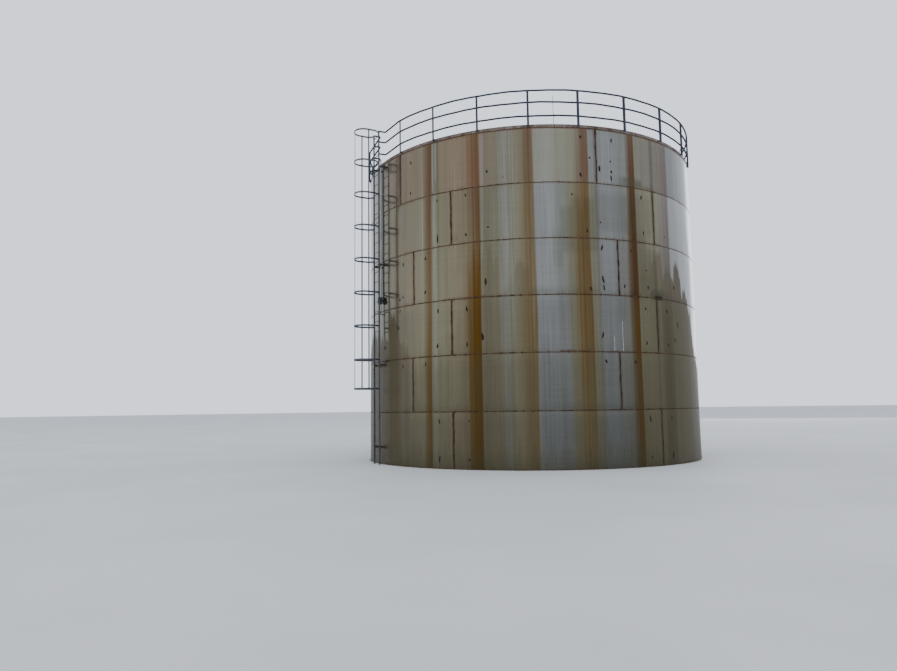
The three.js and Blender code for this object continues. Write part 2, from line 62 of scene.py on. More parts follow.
CURB_LEG = 0.08
CURB_THICKNESS = 0.008
ROOF_THICKNESS = 0.006
ROOF_INNER = SHELL_RADIUS - CURB_LEG
ROOF_TOP = CURB_TOP + ROOF_THICKNESS
ROOF_EDGE = 5.24
ROOF_SLOPE = 1 / 16
LAPS = 16
FIRST_LAP = 7
LAP_START = 0.45
LAP_RING = 2.6
LAP_END = 5.1
BOTTOM_RADIUS = 5.3

POST_STEP = 15
FIRST_POST = 12.4
POSTS = 23
POSTS_PER_SECTION = 8
POST_RADIUS = 5.2753
POST_SHIFT = {0: 0.9, 1: 0.3, 4: -0.3, 6: 0.7, 7: 1.5}
BRACED_POSTS = range(7, 16)
POST_WIDTH = 0.056
POST_DEPTH = 0.05
POST_LEG = 0.005
FOOT_WIDTH = 0.048
FOOT_REACH = 0.09
RAIL_RADIUS = 0.024
RAIL_HEIGHTS = [0.232, 0.610, 0.942]
RAIL_TURN_Y = -5.205
RAIL_BEND = 0.05

LADDER_HALF = 0.2
LADDER_Y = -5.42
LADDER_TOP = 10.05
STRINGER_DEPTH = 0.05
STRINGER_THICKNESS = 0.01
STRINGER_FACE = LADDER_HALF + STRINGER_THICKNESS / 2
STRINGER_BACK = LADDER_Y + STRINGER_DEPTH / 2
STRINGER_FRONT = LADDER_Y - STRINGER_DEPTH / 2
STRINGER_JOINTS = [3.05, 6.05, 9.05]
JOINT_PLATE = 0.007
JOINT_LENGTH = 0.2
JOINT_BOLTS = [-0.07, -0.03, 0.03, 0.07]
LADDER_BOLT = 0.009
RUNG_PITCH = 0.3
RUNGS = 33
RUNG_RADIUS = 0.011
STANDOFFS = [0.5, 2.9, 5.9, 8.93]
STANDOFF_HEIGHT = 0.06
WALL_PLATE_WIDTH = 0.09
WALL_PLATE_HEIGHT = 0.12
CAGE_DEPTH = 0.7
CAGE_HALF = 0.3
CAGE_BACK = LADDER_Y - CAGE_DEPTH
CAGE_CENTRE = CAGE_BACK + CAGE_HALF
CAGE_BAR = 0.006
CAGE_BAR_WIDTH = 0.04
HOOP_WIDTH = 0.05
HOOP_THICKNESS = 0.006
HOOPS = [2.2, 3.05, 4.05, 5.05, 6.05, 7.05, 8.05, 9.05, 9.99]

MANHOLE_ANGLE = 165
MANHOLE_Z = 0.76
MANHOLE_REACH = 0.2
# Angle, height and radius of the pad
NOZZLES = {"inlet_nozzle": (200, 1.15, 0.17), "outlet_nozzle": (225, 0.26, 0.16)}
NOZZLE_REACH = 0.18
ROOF_MANHOLE_ANGLE = 24
ROOF_MANHOLE_RADIUS = 4.25
CONDUIT_X = 0.025
CONDUIT_Y = -5.285
CONDUIT_RADIUS = 0.024
CONDUIT_COUPLING = 6.9
CONDUIT_CLIPS = [8.1, 7.4, 6.5, 5.5]
BOX_HEIGHT = 0.2
BOX_BACK = -5.275
CABLE_Y = -5.308

UP = Vector((0, 0, 1))
chance = random.Random(7)


def linked(name, data):
    """An object of the scene."""
    made = bpy.data.objects.new(name, data)
    bpy.context.scene.collection.objects.link(made)
    return made


# Gathering faces for one piece

class Solid:
    def __init__(self):
        self.points = []
        self.faces = []

    def add(self, points, faces, place=None):
        matrix = np.array(place if place is not None else Matrix.Identity(4))
        start = len(self.points)
        self.points.extend((np.asarray(points, float) @ matrix[:3, :3].T + matrix[:3, 3]).tolist())
        self.faces.extend([i + start for i in face] for face in faces)

    def piece(self, name, material, nodes=(), crease=35):
        mesh = bpy.data.meshes.new(name)
        mesh.from_pydata(self.points, [], self.faces)
        mesh.validate()
        mesh.update()
        made = linked(name, mesh)
        mesh.materials.append(material)
        mesh.shade_smooth()
        mesh.set_sharp_from_angle(angle=math.radians(crease))
        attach(made, "root")
        if nodes:
            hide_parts(*nodes)
        return made

    def dress(self, node, material, crease=35):
        """A piece that is seen in place of a plain solid."""
        return self.piece(f"{node}_dressed", material, [node], crease)


def direction(angle):
    turn = math.radians(angle)
    return Vector((math.sin(turn), -math.cos(turn), 0))


def spot(angle, radius, height):
    return direction(angle) * radius + UP * height


def moved(x, y, z):
    return Matrix.Translation((x, y, z))


def at_angle(angle, radius=0.0, height=0.0):
    """Local +X points out of the tank, +Y along the wall and +Z up."""
    return Matrix.Rotation(math.radians(angle - 90), 4, "Z") @ moved(radius, 0, height)


def quarter(axis, count=1):
    """Quarter turns about an axis."""
    return Matrix.Rotation(count * math.pi / 2, 4, axis)


def facing_out(angle, height):
    """Local +Z points out of the tank, from its axis."""
    return at_angle(angle, 0, height) @ quarter("Y")


def round_turn(count):
    return np.linspace(0, 2 * math.pi, count, endpoint=False)


def half_turn():
    return np.linspace(0, math.pi, 13)


def quarter_turn(count):
    return np.linspace(0, math.pi / 2, count)


def circle(radius, sides):
    return [(radius * math.cos(turn), radius * math.sin(turn)) for turn in round_turn(sides)]


def rectangle(width, height):
    x = width / 2
    y = height / 2
    return [(-x, -y), (x, -y), (x, y), (-x, y)]


def disc(radius, low, high, bevel=0.002):
    """The profile of a round plate or bar with bevelled edges."""
    inner = radius - bevel
    return [(0, low), (inner, low), (radius, low + bevel), (radius, high - bevel), (inner, high), (0, high)]


def block(solid, low, high, place=None, chamfer=0.002):
    """A bar with chamfered edges between two corners."""
    low, high = np.array(low, float), np.array(high, float)
    bevel = min(chamfer, 0.3 * float(min(high - low)))
    points = []
    index = {}
    for corner in np.ndindex(2, 2, 2):
        for axis in range(3):
            point = np.where(corner, high - bevel, low + bevel)
            point[axis] = high[axis] if corner[axis] else low[axis]
            index[corner, axis] = len(points)
            points.append(point)

    faces = []
    for axis, (u, v) in enumerate(((1, 2), (0, 2), (0, 1))):
        def corner_at(side, cu, cv):
            return tuple({axis: side, u: cu, v: cv}[k] for k in range(3))

        for side in range(2):
            ring = [index[corner_at(side, *pair), axis] for pair in ((0, 0), (1, 0), (1, 1), (0, 1))]
            faces.append(ring if (side == 1) == (axis != 1) else ring[::-1])
        for cu, cv in np.ndindex(2, 2):
            near, far = corner_at(0, cu, cv), corner_at(1, cu, cv)
            ring = [index[near, u], index[far, u], index[far, v], index[near, v]]
            faces.append(ring[::-1] if (cu == cv) == (axis != 1) else ring)
    for corner in np.ndindex(2, 2, 2):
        ring = [index[corner, axis] for axis in range(3)]
        faces.append(ring if sum(corner) % 2 == 1 else ring[::-1])
    solid.add(points, faces, place)


def lathe(solid, profile, sides, place=None, closed=False):
    """A profile of (radius, height) turned about local Z, listed so that its outside is on its right."""
    points = []
    rings = []
    for radius, height in profile:
        corners = circle(radius, sides) if radius > 0 else [(0, 0)]
        rings.append([len(points) + i % len(corners) for i in range(sides + 1)])
        points.extend((x, y, height) for x, y in corners)
    faces = []
    for first, second in zip(rings, rings[1:] + rings[:1] if closed else rings[1:]):
        for i in range(sides):
            ring = list(dict.fromkeys((first[i], first[i + 1], second[i + 1], second[i])))
            if len(ring) > 2:
                faces.append(ring)
    solid.add(points, faces, place)


def tube_faces(count, sides, closed):
    """The faces of a tube through a number of sections, with flat ends unless it closes on itself."""
    faces = []
    for i in range(count if closed else count - 1):
        j = (i + 1) % count
        for k in range(sides):
            m = (k + 1) % sides
            faces.append((i * sides + k, i * sides + m, j * sides + m, j * sides + k))
    if not closed:
        faces.append(tuple(range(sides))[::-1])
        faces.append(tuple(range((count - 1) * sides, count * sides)))
    return faces


def sweep(solid, path, section, up=UP, closed=False, scale=None):
    """A closed section carried along a path: its first axis points to the path's right, its second up."""
    path = [Vector(point) for point in path]
    count = len(path)
    points = []
    for i, here in enumerate(path):
        before = path[i - 1] if i or closed else here
        after = path[(i + 1) % count] if i < count - 1 or closed else here
        ahead = (after - before).normalized()
        right = ahead.cross(up).normalized()
        above = right.cross(ahead)
        size = scale[i] if scale is not None else 1.0
        points.extend(here + (right * u + above * v) * size for u, v in section)
    solid.add(points, tube_faces(count, len(section), closed))


def handle(solid, place, half, rise, thick=0.014):
    """A bent bar in the local XZ plane, with both feet on local Z = 0."""
    path = [place @ Vector((-half * math.cos(turn), 0, rise * math.sin(turn) ** 0.6)) for turn in half_turn()]
    sweep(solid, path, circle(thick / 2, 10), up=place.to_3x3() @ Vector((0, 1, 0)))


def bolt(solid, place, size, washer=True):
    """A hexagon head on a washer, with the shank's end above it, along local Z."""
    head = [(0, 0.16), (0.86, 0.16), (0.9, 0.75), (0.78, 0.86), (0, 0.86)]
    shank = [(0, 0.16), (0.42, 0.16), (0.42, 1.25), (0.34, 1.33), (0, 1.33)]
    profiles = [(head, 6), (shank, 12)]
    if washer:
        profiles.append(([(0, 0), (1.05, 0), (1.05, 0.16), (0, 0.16)], 16))
    for profile, sides in profiles:
        lathe(solid, [(radius * size, height * size) for radius, height in profile], sides, place)


def bolt_ring(solid, place, count, radius, height, size, offset=0.0, under=False):
    """Bolts in a circle about local Z, on a flange or under it."""
    seat = moved(radius, 0, height) @ quarter("X", 2 if under else 0)
    for i in range(count):
        bolt(solid, place @ quarter("Z", 4 * (i + offset) / count) @ seat, size)


# Materials

def smooth(values, low, high):
    t = np.clip((values - low) / (high - low), 0, 1)
    return t * t * (3 - 2 * t)


class Shader:
    def __init__(self, name):
        self.material = bpy.data.materials.new(name)
        self.material.use_nodes = True
        self.tree = self.material.node_tree
        self.surface = self.tree.nodes["Principled BSDF"]
        self.where = self.node("ShaderNodeTexCoord").outputs["Object"]

    def node(self, kind, inputs=None, **settings):
        made = self.tree.nodes.new(kind)
        for name, value in settings.items():
            setattr(made, name, value)
        self.fill(made, inputs or {})
        return made

    def fill(self, node, inputs):
        """Links an input to another node's output, or sets its value."""
        for key, value in inputs.items():
            socket = node.inputs[key]
            if isinstance(value, bpy.types.NodeSocket):
                self.tree.links.new(value, socket)
            else:
                socket.default_value = (*value, 1) if socket.type == "RGBA" else value

    def attribute(self, name):
        return self.node("ShaderNodeAttribute", attribute_name=name).outputs["Fac"]

    def noise(self, stretch, detail=4.0, roughness=0.55, offset=(0, 0, 0)):
        place = self.node("ShaderNodeMapping", {"Vector": self.where, "Scale": stretch, "Location": offset})
        inputs = {"Vector": place.outputs["Vector"], "Scale": 1.0, "Detail": detail, "Roughness": roughness}
        return self.node("ShaderNodeTexNoise", inputs).outputs["Fac"]

    def maths(self, operation, first, second):
        return self.node("ShaderNodeMath", {0: first, 1: second}, operation=operation).outputs["Value"]

    def times(self, first, second):
        return self.maths("MULTIPLY", first, second)

    def plus(self, first, second, share=1):
        """The first value and a share of the second."""
        return self.maths("ADD", first, second if share == 1 else self.times(second, share))

    def most(self, first, second, share):
        """The larger of the first value and a share of the second."""
        return self.maths("MAXIMUM", first, self.times(second, share))

    def span(self, value, low, high, out_low=0.0, out_high=1.0):
        inputs = {"Value": value, "From Min": low, "From Max": high, "To Min": out_low, "To Max": out_high}
        return self.node("ShaderNodeMapRange", inputs, interpolation_type="SMOOTHSTEP").outputs["Result"]

    def mix(self, factor, first, second, blend="MIX"):
        inputs = {"Factor": factor, 6: first, 7: second}
        return self.node("ShaderNodeMix", inputs, data_type="RGBA", blend_type=blend).outputs[2]

    def blend(self, factor, first, second):
        return self.node("ShaderNodeMix", {0: factor, 2: first, 3: second}, data_type="FLOAT").outputs[0]

    def bump(self, height, distance, strength):
        made = self.node("ShaderNodeBump", {"Strength": strength, "Distance": distance, "Height": height})
        self.fill(self.surface, {"Normal": made.outputs["Normal"]})

    def finish(self, colour, metallic, roughness, specular=0.5):
        self.fill(self.surface, {"Base Color": colour, "Metallic": metallic, "Roughness": roughness,
                                 "Specular IOR Level": specular})
        return self.material


# Colours, as linear values
STEEL_BLUE = (0.211, 0.214, 0.206)
STEEL_LIGHT = (0.36, 0.365, 0.345)
FILM_BEIGE = (0.190, 0.145, 0.098)
FILM_GREEN = (0.188, 0.172, 0.109)
GRIME = (0.050, 0.046, 0.026)
SOIL = (0.070, 0.054, 0.023)
AMBER = (0.098, 0.045, 0.0015)
RUST_RED = (0.106, 0.040, 0.014)
RUST_DARK = (0.020, 0.010, 0.005)


def shell_material():
    shader = Shader("weathered_shell_with_painted_shade")
    broad = shader.noise((5, 5, 0.28), detail=5, offset=(3, 1, 0))
    lines = shader.noise((30, 30, 0.7), detail=6, roughness=0.62, offset=(7, 2, 0))
    ragged = shader.noise((14, 14, 3.0), detail=6, roughness=0.65, offset=(2, 6, 5))
    rolled = shader.noise((0.6, 0.6, 34), detail=4, offset=(1, 3, 9))
    grain = shader.noise((90, 90, 60), detail=3)
    wobble, sway, torn = (shader.plus(noise, -0.5) for noise in (lines, broad, ragged))

    def mask(name, low, high, *shares):
        """The amount of a stain, made uneven by a share of each kind of noise."""
        value = shader.attribute(name)
        for noise, share in zip((wobble, sway, torn), shares):
            value = shader.plus(value, noise, share)
        return shader.span(value, low, high)

    film = mask("film", 0.0, 1.0, 0.25, 0.2)
    warm = mask("warm", 0.1, 0.95, 0.2, 0.3)
    wash = mask("wash", 0.1, 1.0, 0.5, 0.1)
    grime = mask("grime", 0.0, 1.0, 0.3, 0.3, 0.15)
    splash = mask("splash", 0.40, 0.62, 0.12, 0.10, 0.25)
    amber = mask("amber", 0.05, 0.95, 0.3, 0.3)
    rust = mask("rust", 0.06, 0.95, 0.3, 0.2)
    seam = mask("seam", 0.25, 0.75, 0.2, 0.1, 1.1)
    # The tone multiplies the colour: the plate's own uneven tone, with painted shade low down and painted
    # light higher up.
    tone_and_shading = shader.plus(shader.plus(shader.attribute("tone_and_shading"), sway, 0.25), wobble, 0.35)
    tone_and_shading = shader.maths("SUBTRACT", tone_and_shading, shader.span(rolled, 0.35, 0.65, 0.0, 0.05))
    soiled = shader.times(splash, shader.attribute("soil"))

    colour = shader.mix(film, STEEL_BLUE, shader.mix(warm, FILM_GREEN, FILM_BEIGE))
    for cover, share, stain in ((wash, 0.6, STEEL_LIGHT), (amber, 0.97, AMBER), (rust, 0.92, RUST_RED)):
        colour = shader.mix(shader.times(cover, share), colour, stain)
    colour = shader.mix(1.0, colour, tone_and_shading, "MULTIPLY")
    colour = shader.mix(soiled, colour, SOIL)
    colour = shader.mix(shader.times(grime, 0.85), colour, GRIME)
    colour = shader.mix(seam, colour, RUST_DARK)

    crust = shader.most(seam, rust, 0.5)
    caked = shader.most(crust, soiled, 0.9)
    dull = crust
    for cover, share in ((amber, 0.4), (grime, 0.45), (soiled, 0.8), (film, 0.08)):
        dull = shader.most(dull, cover, share)
    roughness = shader.plus(shader.blend(dull, 0.12, 0.7), wobble, 0.08)
    height = shader.plus(shader.times(grain, 0.12), seam, 1.2)
    shader.bump(shader.plus(height, lines, 0.15), 0.0015, 0.4)
    return shader.finish(colour, shader.blend(caked, 0.9, 0.1), roughness, specular=0.15)


def bead_material(name, low, high, bare):
    """Rusty weld metal, with a share of lighter places where it isn't rusted through."""
    shader = Shader(name)
    patch = shader.noise((9, 9, 9), detail=6, roughness=0.6)
    grain = shader.noise((160, 160, 160), detail=3)
    colour = shader.mix(shader.span(patch, 0.35, 0.62), low, high)
    colour = shader.mix(shader.span(patch, 0.50, 0.66), colour, bare)
    shader.bump(grain, 0.002, 0.8)
    return shader.finish(colour, 0.0, shader.span(grain, 0.3, 0.7, 0.6, 0.85), specular=0.1)


def scar_material():
    shader = Shader("lug_scar")
    patch = shader.noise((14, 14, 9), detail=5)
    grain = shader.noise((150, 150, 150), detail=3)
    colour = shader.mix(shader.span(patch, 0.4, 0.65), (0.008, 0.006, 0.005), (0.030, 0.016, 0.010))
    shader.bump(grain, 0.003, 0.8)
    return shader.finish(colour, 0.0, 0.75, specular=0.1)


def drip_material():
    shader = Shader("white_drips")
    grain = shader.noise((60, 60, 12), detail=4)
    colour = shader.mix(shader.span(grain, 0.3, 0.7), (0.36, 0.36, 0.34), (0.55, 0.55, 0.52))
    shader.bump(grain, 0.001, 0.5)
    return shader.finish(colour, 0.0, 0.5)


def floor_material():
    shader = Shader("pale_floor")
    patch = shader.noise((0.2, 0.2, 0.2), detail=4)
    colour = shader.mix(shader.span(patch, 0.3, 0.7), (0.42, 0.43, 0.44), (0.47, 0.48, 0.49))
    return shader.finish(colour, 0.0, 0.7)


def steel_material(name, low, high, stain, stain_from, roughness=0.4, metallic=0.75, streak=0.4, scale=3.0):
    """Plain steel with vertical run-off, blotches and a fine grain."""
    shader = Shader(name)
    runs = shader.noise((scale * 5, scale * 5, scale * streak), detail=6, roughness=0.6)
    patch = shader.noise((scale, scale, scale), detail=6, offset=(4, 9, 2))
    grain = shader.noise((140, 140, 140), detail=3)
    both = shader.plus(shader.times(runs, 0.45), patch, 0.55)
    stained = shader.span(both, stain_from, stain_from + 0.09)
    colour = shader.mix(stained, shader.mix(shader.span(runs, 0.35, 0.65), low, high), stain)
    rough = shader.plus(shader.blend(stained, roughness, 0.75), shader.span(patch, 0.3, 0.7, -0.06, 0.08))
    shader.bump(shader.plus(grain, stained, 0.8), 0.0012, 0.6)
    return shader.finish(colour, shader.blend(stained, metallic, 0.1), rough)


def paint_material(name, low, high, chip, chips_from, gloss=0.45, specular=0.5):
    """Old paint, chalked by the weather, with rust breaking through."""
    shader = Shader(name)
    chalk = shader.noise((7, 7, 3), detail=5)
    chips = shader.noise((34, 34, 20), detail=6, roughness=0.65, offset=(2, 5, 1))
    grain = shader.noise((260, 260, 260), detail=2)
    chipped = shader.span(chips, chips_from, chips_from + 0.04)
    colour = shader.mix(chipped, shader.mix(shader.span(chalk, 0.35, 0.65), low, high), chip)
    shader.bump(shader.plus(grain, chipped, -1.0), 0.0008, 0.6)
    metallic = shader.blend(chipped, 0.15, 0.0)
    return shader.finish(colour, metallic, shader.blend(chipped, gloss, 0.8), specular)


SHELL = shell_material()
BEAD = bead_material("rusty_weld", (0.027, 0.015, 0.009), (0.054, 0.031, 0.017), (0.072, 0.052, 0.034))
UPRIGHT_BEAD = bead_material(
    "dark_rusty_weld", (0.014, 0.009, 0.007), (0.034, 0.019, 0.012), (0.040, 0.026, 0.018))
SCAR = scar_material()
WHITE = drip_material()
ROOF = steel_material(
    "dull_roof_plate", (0.24, 0.24, 0.22), (0.38, 0.38, 0.36), (0.12, 0.09, 0.06), 0.55,
    streak=5.0, scale=0.8)
CURB = steel_material(
    "stained_curb_angle", (0.085, 0.062, 0.050), (0.17, 0.135, 0.115), (0.060, 0.027, 0.015), 0.50,
    roughness=0.5, metallic=0.45, streak=2.0, scale=2.2)
RAILS = paint_material(
    "slate_rail_paint", (0.024, 0.029, 0.046), (0.034, 0.040, 0.060), (0.04, 0.024, 0.016), 0.70,
    gloss=0.7, specular=0.2)
LADDER = paint_material(
    "slate_ladder_paint", (0.030, 0.036, 0.052), (0.060, 0.066, 0.082), (0.07, 0.03, 0.018), 0.62)
FITTINGS = steel_material(
    "fitting_steel", (0.13, 0.125, 0.105), (0.26, 0.255, 0.235), (0.085, 0.040, 0.018), 0.52, roughness=0.42)
FASTENERS = steel_material(
    "rusty_fasteners", (0.10, 0.08, 0.07), (0.20, 0.18, 0.16), (0.10, 0.04, 0.02), 0.50,
    roughness=0.55, metallic=0.5, scale=12)
BRACKETS = steel_material(
    "rusty_brackets", (0.018, 0.014, 0.013), (0.045, 0.032, 0.028), (0.050, 0.018, 0.009), 0.50,
    roughness=0.7, metallic=0.1, scale=9)
GALVANISED = steel_material(
    "galvanised_conduit", (0.24, 0.26, 0.28), (0.36, 0.38, 0.40), (0.12, 0.08, 0.05), 0.58,
    roughness=0.5, metallic=0.6, scale=6)


# How the weather has stained the shell, and the painted shade and light on it. Heights are in metres, angles
# in degrees.

# Rust runs below the guardrail's posts. Each fades in from the left and ends sharply on the right:
# height, start of the fade, left edge, right edge, red, amber, dark
RUNS = [
    [(9.1, 10.4, 11.7, 12.9, 0.6, 0.1, 1.4), (7.7, 10.2, 11.6, 12.8, 0.5, 0.1, 1.2),
     (7.3, 9, 9.8, 11.3, 0.15, 0.2, 0.8), (5.3, 9, 10.2, 11.3, 0.1, 0.25, 1.1),
     (3.7, 8.2, 9.8, 11.4, 0, 0.3, 0.6), (0, 8.2, 10, 12, 0, 0.3, 0.6)],
    [(9.1, 22.9, 24.3, 26.6, 0.72, 0.12, 0.1), (6.7, 22.8, 24.2, 26.2, 0.68, 0.35, 0.1),
     (5.3, 22.6, 24.2, 26.2, 0.45, 0.55, 0), (3.7, 22.4, 24.2, 26.1, 0.22, 0.64, 0),
     (2.5, 22.4, 24, 25.9, 0.1, 0.74, 0), (0, 22.2, 24, 25.8, 0.1, 0.74, 0.2)],
    [(9.1, 36.6, 39.2, 42.4, 0.68, 0.2, 0), (6.7, 36.2, 39.4, 42.6, 0.58, 0.4, 0),
     (5.9, 36.4, 39.2, 42.6, 0.42, 0.52, 0), (5.3, 36.6, 38.8, 42.6, 0.3, 0.72, 0),
     (3.7, 36.4, 38.6, 42.4, 0.1, 0.86, 0), (0, 36.8, 39.3, 42.5, 0, 0.96, 0.1)],
    [(9.1, 54.2, 55.9, 58.2, 0.65, 0.35, 0), (6.7, 52.8, 55.3, 58.5, 0.42, 0.45, 0),
     (5.3, 52.4, 54.8, 58.6, 0.16, 0.48, 0), (3.7, 52.2, 54.6, 58.8, 0, 0.59, 0),
     (0, 52.2, 54.6, 58.2, 0, 0.53, 0)],
    [(9.1, 69.2, 72, 74.6, 0.71, 0.22, 0), (7.7, 68.8, 71.6, 74.7, 0.7, 0.35, 0),
     (6.9, 68.4, 71, 74.5, 0.22, 0.75, 0.1), (5.3, 68.2, 70.8, 74.5, 0.14, 0.74, 0),
     (3.7, 67.8, 70.2, 74.8, 0, 0.68, 0), (0, 67.8, 70.2, 74.7, 0, 0.54, 0)],
    [(9.1, 86.8, 88.3, 90.3, 0.76, 0.2, 0), (8, 86.8, 88.3, 90.4, 0.9, 0.3, 0.5),
     (6.9, 86.9, 88.3, 90.3, 0.66, 0.95, 0.9), (5.3, 85.7, 88.2, 90.4, 0.6, 0.85, 0.45),
     (4.5, 85.7, 88, 90.4, 0.5, 0.82, 0.5), (3.7, 86, 87.9, 90.4, 0.3, 0.87, 0.4),
     (0, 86, 87.8, 90.4, 0.2, 0.8, 0.4)],
    [(9.1, 96.6, 97.1, 98.5, 0.3, 0.2, 0.6), (7.6, 96.6, 97.1, 98.5, 0.3, 0.2, 0.6),
     (7.4, 96.4, 97.3, 98.6, 0.22, 0.33, 1.2), (6.2, 96.4, 97.3, 98.4, 0.2, 0.25, 1.1),
     (5.9, 96.6, 97.2, 98.2, 0.2, 0.2, 0.3), (4.5, 96.6, 97.2, 98.5, 0.3, 0.35, 1.2),
     (3.3, 96.6, 97.2, 98.5, 0.3, 0.4, 1.4), (2.8, 96.6, 97.2, 98.2, 0.15, 0.2, 0.3),
     (0, 96.6, 97.2, 98.2, 0.2, 0.3, 0.8)],
    [(9.1, 97.5, 101.5, 105.7, 0.36, 0.1, 0.1), (6, 98.6, 100.5, 105.6, 0.42, 0.3, 0.35),
     (5, 98.6, 100.3, 105.5, 0.38, 0.45, 0.4), (3.7, 99, 101.2, 105.9, 0.1, 1, 1.05),
     (0, 99, 101.2, 105.6, 0, 1, 1.2)],
    [(9.1, 75.8, 76.3, 77.3, 0.5, 0, 0.2), (7.5, 75.8, 76.3, 77.3, 0.4, 0, 0.2),
     (6.2, 76, 76.5, 77.4, 0.25, 0.2, 0.3), (0, 76.2, 76.6, 77.2, 0, 0.2, 0.2)],
]
# Strips that the rain keeps clean: left edge, right edge, lowest, highest, amount
CLEAN_STRIPS = [
    (26.6, 27.2, 8.1, 9.1, 0.85), (27.7, 28.3, 8.1, 9.1, 0.95), (26.7, 28.3, 0, 7.1, 0.46),
    (42.8, 44, 6, 9.1, 0.45), (48.2, 48.8, 2, 9.1, 0.35), (49, 50.9, 0, 9.1, 0.46),
    (51.5, 51.9, 4, 9.1, 0.5), (52.7, 53, 5.5, 9.1, 0.45), (59.4, 60, 0, 9.1, 0.2),
    (74.6, 75.6, 7.5, 9.1, 0.3), (77.6, 88, 7.5, 9.1, 0.1), (105.6, 139, 5.6, 9.1, 0.35),
    (112, 139, 4.4, 5.6, 0.35), (118, 139, 0, 4.4, 0.3), (18.8, 19.2, 3, 7.5, 0.3), (45, 47.5, 3, 5.5, 0.15),
    (59.5, 64, 3, 7.4, 0.22),
]
# The film of dirt: the angle, then the film in the top course, the middle and the lowest courses,
# how warm its brown is, and how light the wall is low down, in the middle and in the top course
# Its lightness columns are partly the plate's own tone and partly painted shade: mostly darker low down.
FILM_AND_SHADING = [
    (-60, 0.8, 0.8, 0.8, 0.5, 0.72, 0.8, 0.8),
    (0, 0.85, 0.85, 0.85, 0.5, 0.64, 0.8, 0.78),
    (14, 0.95, 0.85, 0.9, 0.9, 0.66, 0.82, 0.81),
    (18, 0.95, 0.85, 0.9, 0.75, 0.75, 0.87, 0.85),
    (22, 0.95, 0.85, 0.9, 0.5, 0.87, 0.95, 0.88),
    (25, 0.95, 0.85, 0.9, 0.6, 0.9, 0.9, 0.88),
    (27.3, 0.9, 0.8, 0.85, 0.4, 0.8, 0.84, 0.64),
    (31, 0.95, 0.9, 0.95, 0.55, 0.88, 0.88, 0.92),
    (36.5, 1, 0.95, 1, 1, 0.8, 0.88, 0.95),
    (41.5, 1, 0.95, 1, 0.6, 0.8, 0.86, 0.97),
    (43.3, 0.85, 0.9, 1, 0.65, 0.58, 0.66, 0.76),
    (47, 0.85, 0.85, 0.9, 0.4, 0.7, 0.78, 0.82),
    (50, 0.6, 0.5, 0.6, 0.2, 0.64, 0.77, 0.75),
    (54, 0.8, 0.85, 1, 0.45, 0.9, 0.88, 0.86),
    (57.5, 0.75, 0.8, 1, 0.4, 0.92, 0.9, 0.84),
    (59.5, 0.5, 0.1, 0.1, 0.1, 0.65, 0.87, 1),
    (64, 0.5, 0.12, 0.12, 0.1, 0.63, 0.85, 1.03),
    (67.5, 0.6, 0.45, 0.3, 0.1, 0.6, 0.74, 0.96),
    (69, 0.62, 0.75, 0.8, 0, 0.68, 0.76, 0.94),
    (71, 0.65, 0.9, 1, 0, 0.8, 0.82, 0.92),
    (73.5, 0.4, 0.8, 1, 0.2, 0.85, 0.95, 0.94),
    (75.5, 0.25, 0.7, 0.8, 0.2, 0.6, 0.68, 0.77),
    (77.2, 0.2, 0.5, 0.6, 0.1, 0.6, 0.7, 0.8),
    (78, 0.1, 0.1, 0.1, 0, 0.58, 0.72, 0.84),
    (82, 0.1, 0.12, 0.15, 0, 0.56, 0.72, 0.84),
    (87, 0.35, 0.45, 0.5, 0.1, 0.56, 0.64, 0.74),
    (89, 0.5, 0.7, 0.8, 0.3, 0.74, 0.64, 0.8),
    (91, 0.6, 0.8, 1, 0.25, 0.62, 0.69, 0.81),
    (98, 0.5, 0.8, 1, 0.3, 0.6, 0.83, 0.7),
    (101, 0.6, 0.5, 1, 0.7, 0.47, 0.82, 0.74),
    (105.3, 0.7, 0.5, 1, 0.9, 0.3, 0.66, 0.62),
    (105.8, 0.1, 0.1, 0.5, 0.2, 0.65, 0.82, 0.6),
    (112, 0.05, 0.05, 0.4, 0.1, 0.72, 0.9, 0.66),
    (122, 0.05, 0.05, 0.4, 0.1, 0.72, 0.88, 0.74),
    (140, 0.1, 0.1, 0.4, 0.1, 0.78, 0.85, 0.82),
    (200, 0.5, 0.5, 0.6, 0.3, 0.74, 0.8, 0.82),
    (300, 0.8, 0.8, 0.85, 0.5, 0.72, 0.8, 0.8),
]
# Dirty patches: left edge, right edge, lowest, highest, softness up and down, amount
PATCHES = [
    (28.7, 29.1, 4.5, 9.1, 0.1, 0.5), (82.5, 91, 7.52, 7.74, 0.05, 0.25), (84.5, 91, 7.52, 7.78, 0.05, 0.42),
    (86.5, 91, 7.52, 7.80, 0.05, 0.55), (89, 94, 7.52, 7.74, 0.05, 0.6), (93, 97.3, 7.52, 7.62, 0.05, 0.5),
    (76, 97, 6.2, 7.3, 0.03, 0.3), (57, 77, 4.51, 4.68, 0.1, 0.35), (-60, 125, 0, 3.1, 0.55, 0.38),
    (44, 46.5, 4.6, 5.9, 0.3, 0.3), (53, 56, 3.2, 5.35, 0.05, 0.2), (63.5, 66.5, 5.2, 6.3, 0.2, 0.3),
    (66, 70, 5.6, 6.9, 0.15, 0.4), (69, 77, 5.6, 7.12, 0.1, 0.35), (90.6, 94.5, 4.5, 6.6, 0.5, 0.4),
    (92, 97.5, 4.5, 5.9, 0.2, 0.45), (0.5, 10, 2, 9.1, 0.2, 0.18), (96, 111, 4.5, 4.6, 0.06, 0.6),
    (95.5, 101.5, 4.46, 4.75, 0.12, 1), (1, 9.5, 8.6, 8.96, 0.15, 0.5),
]
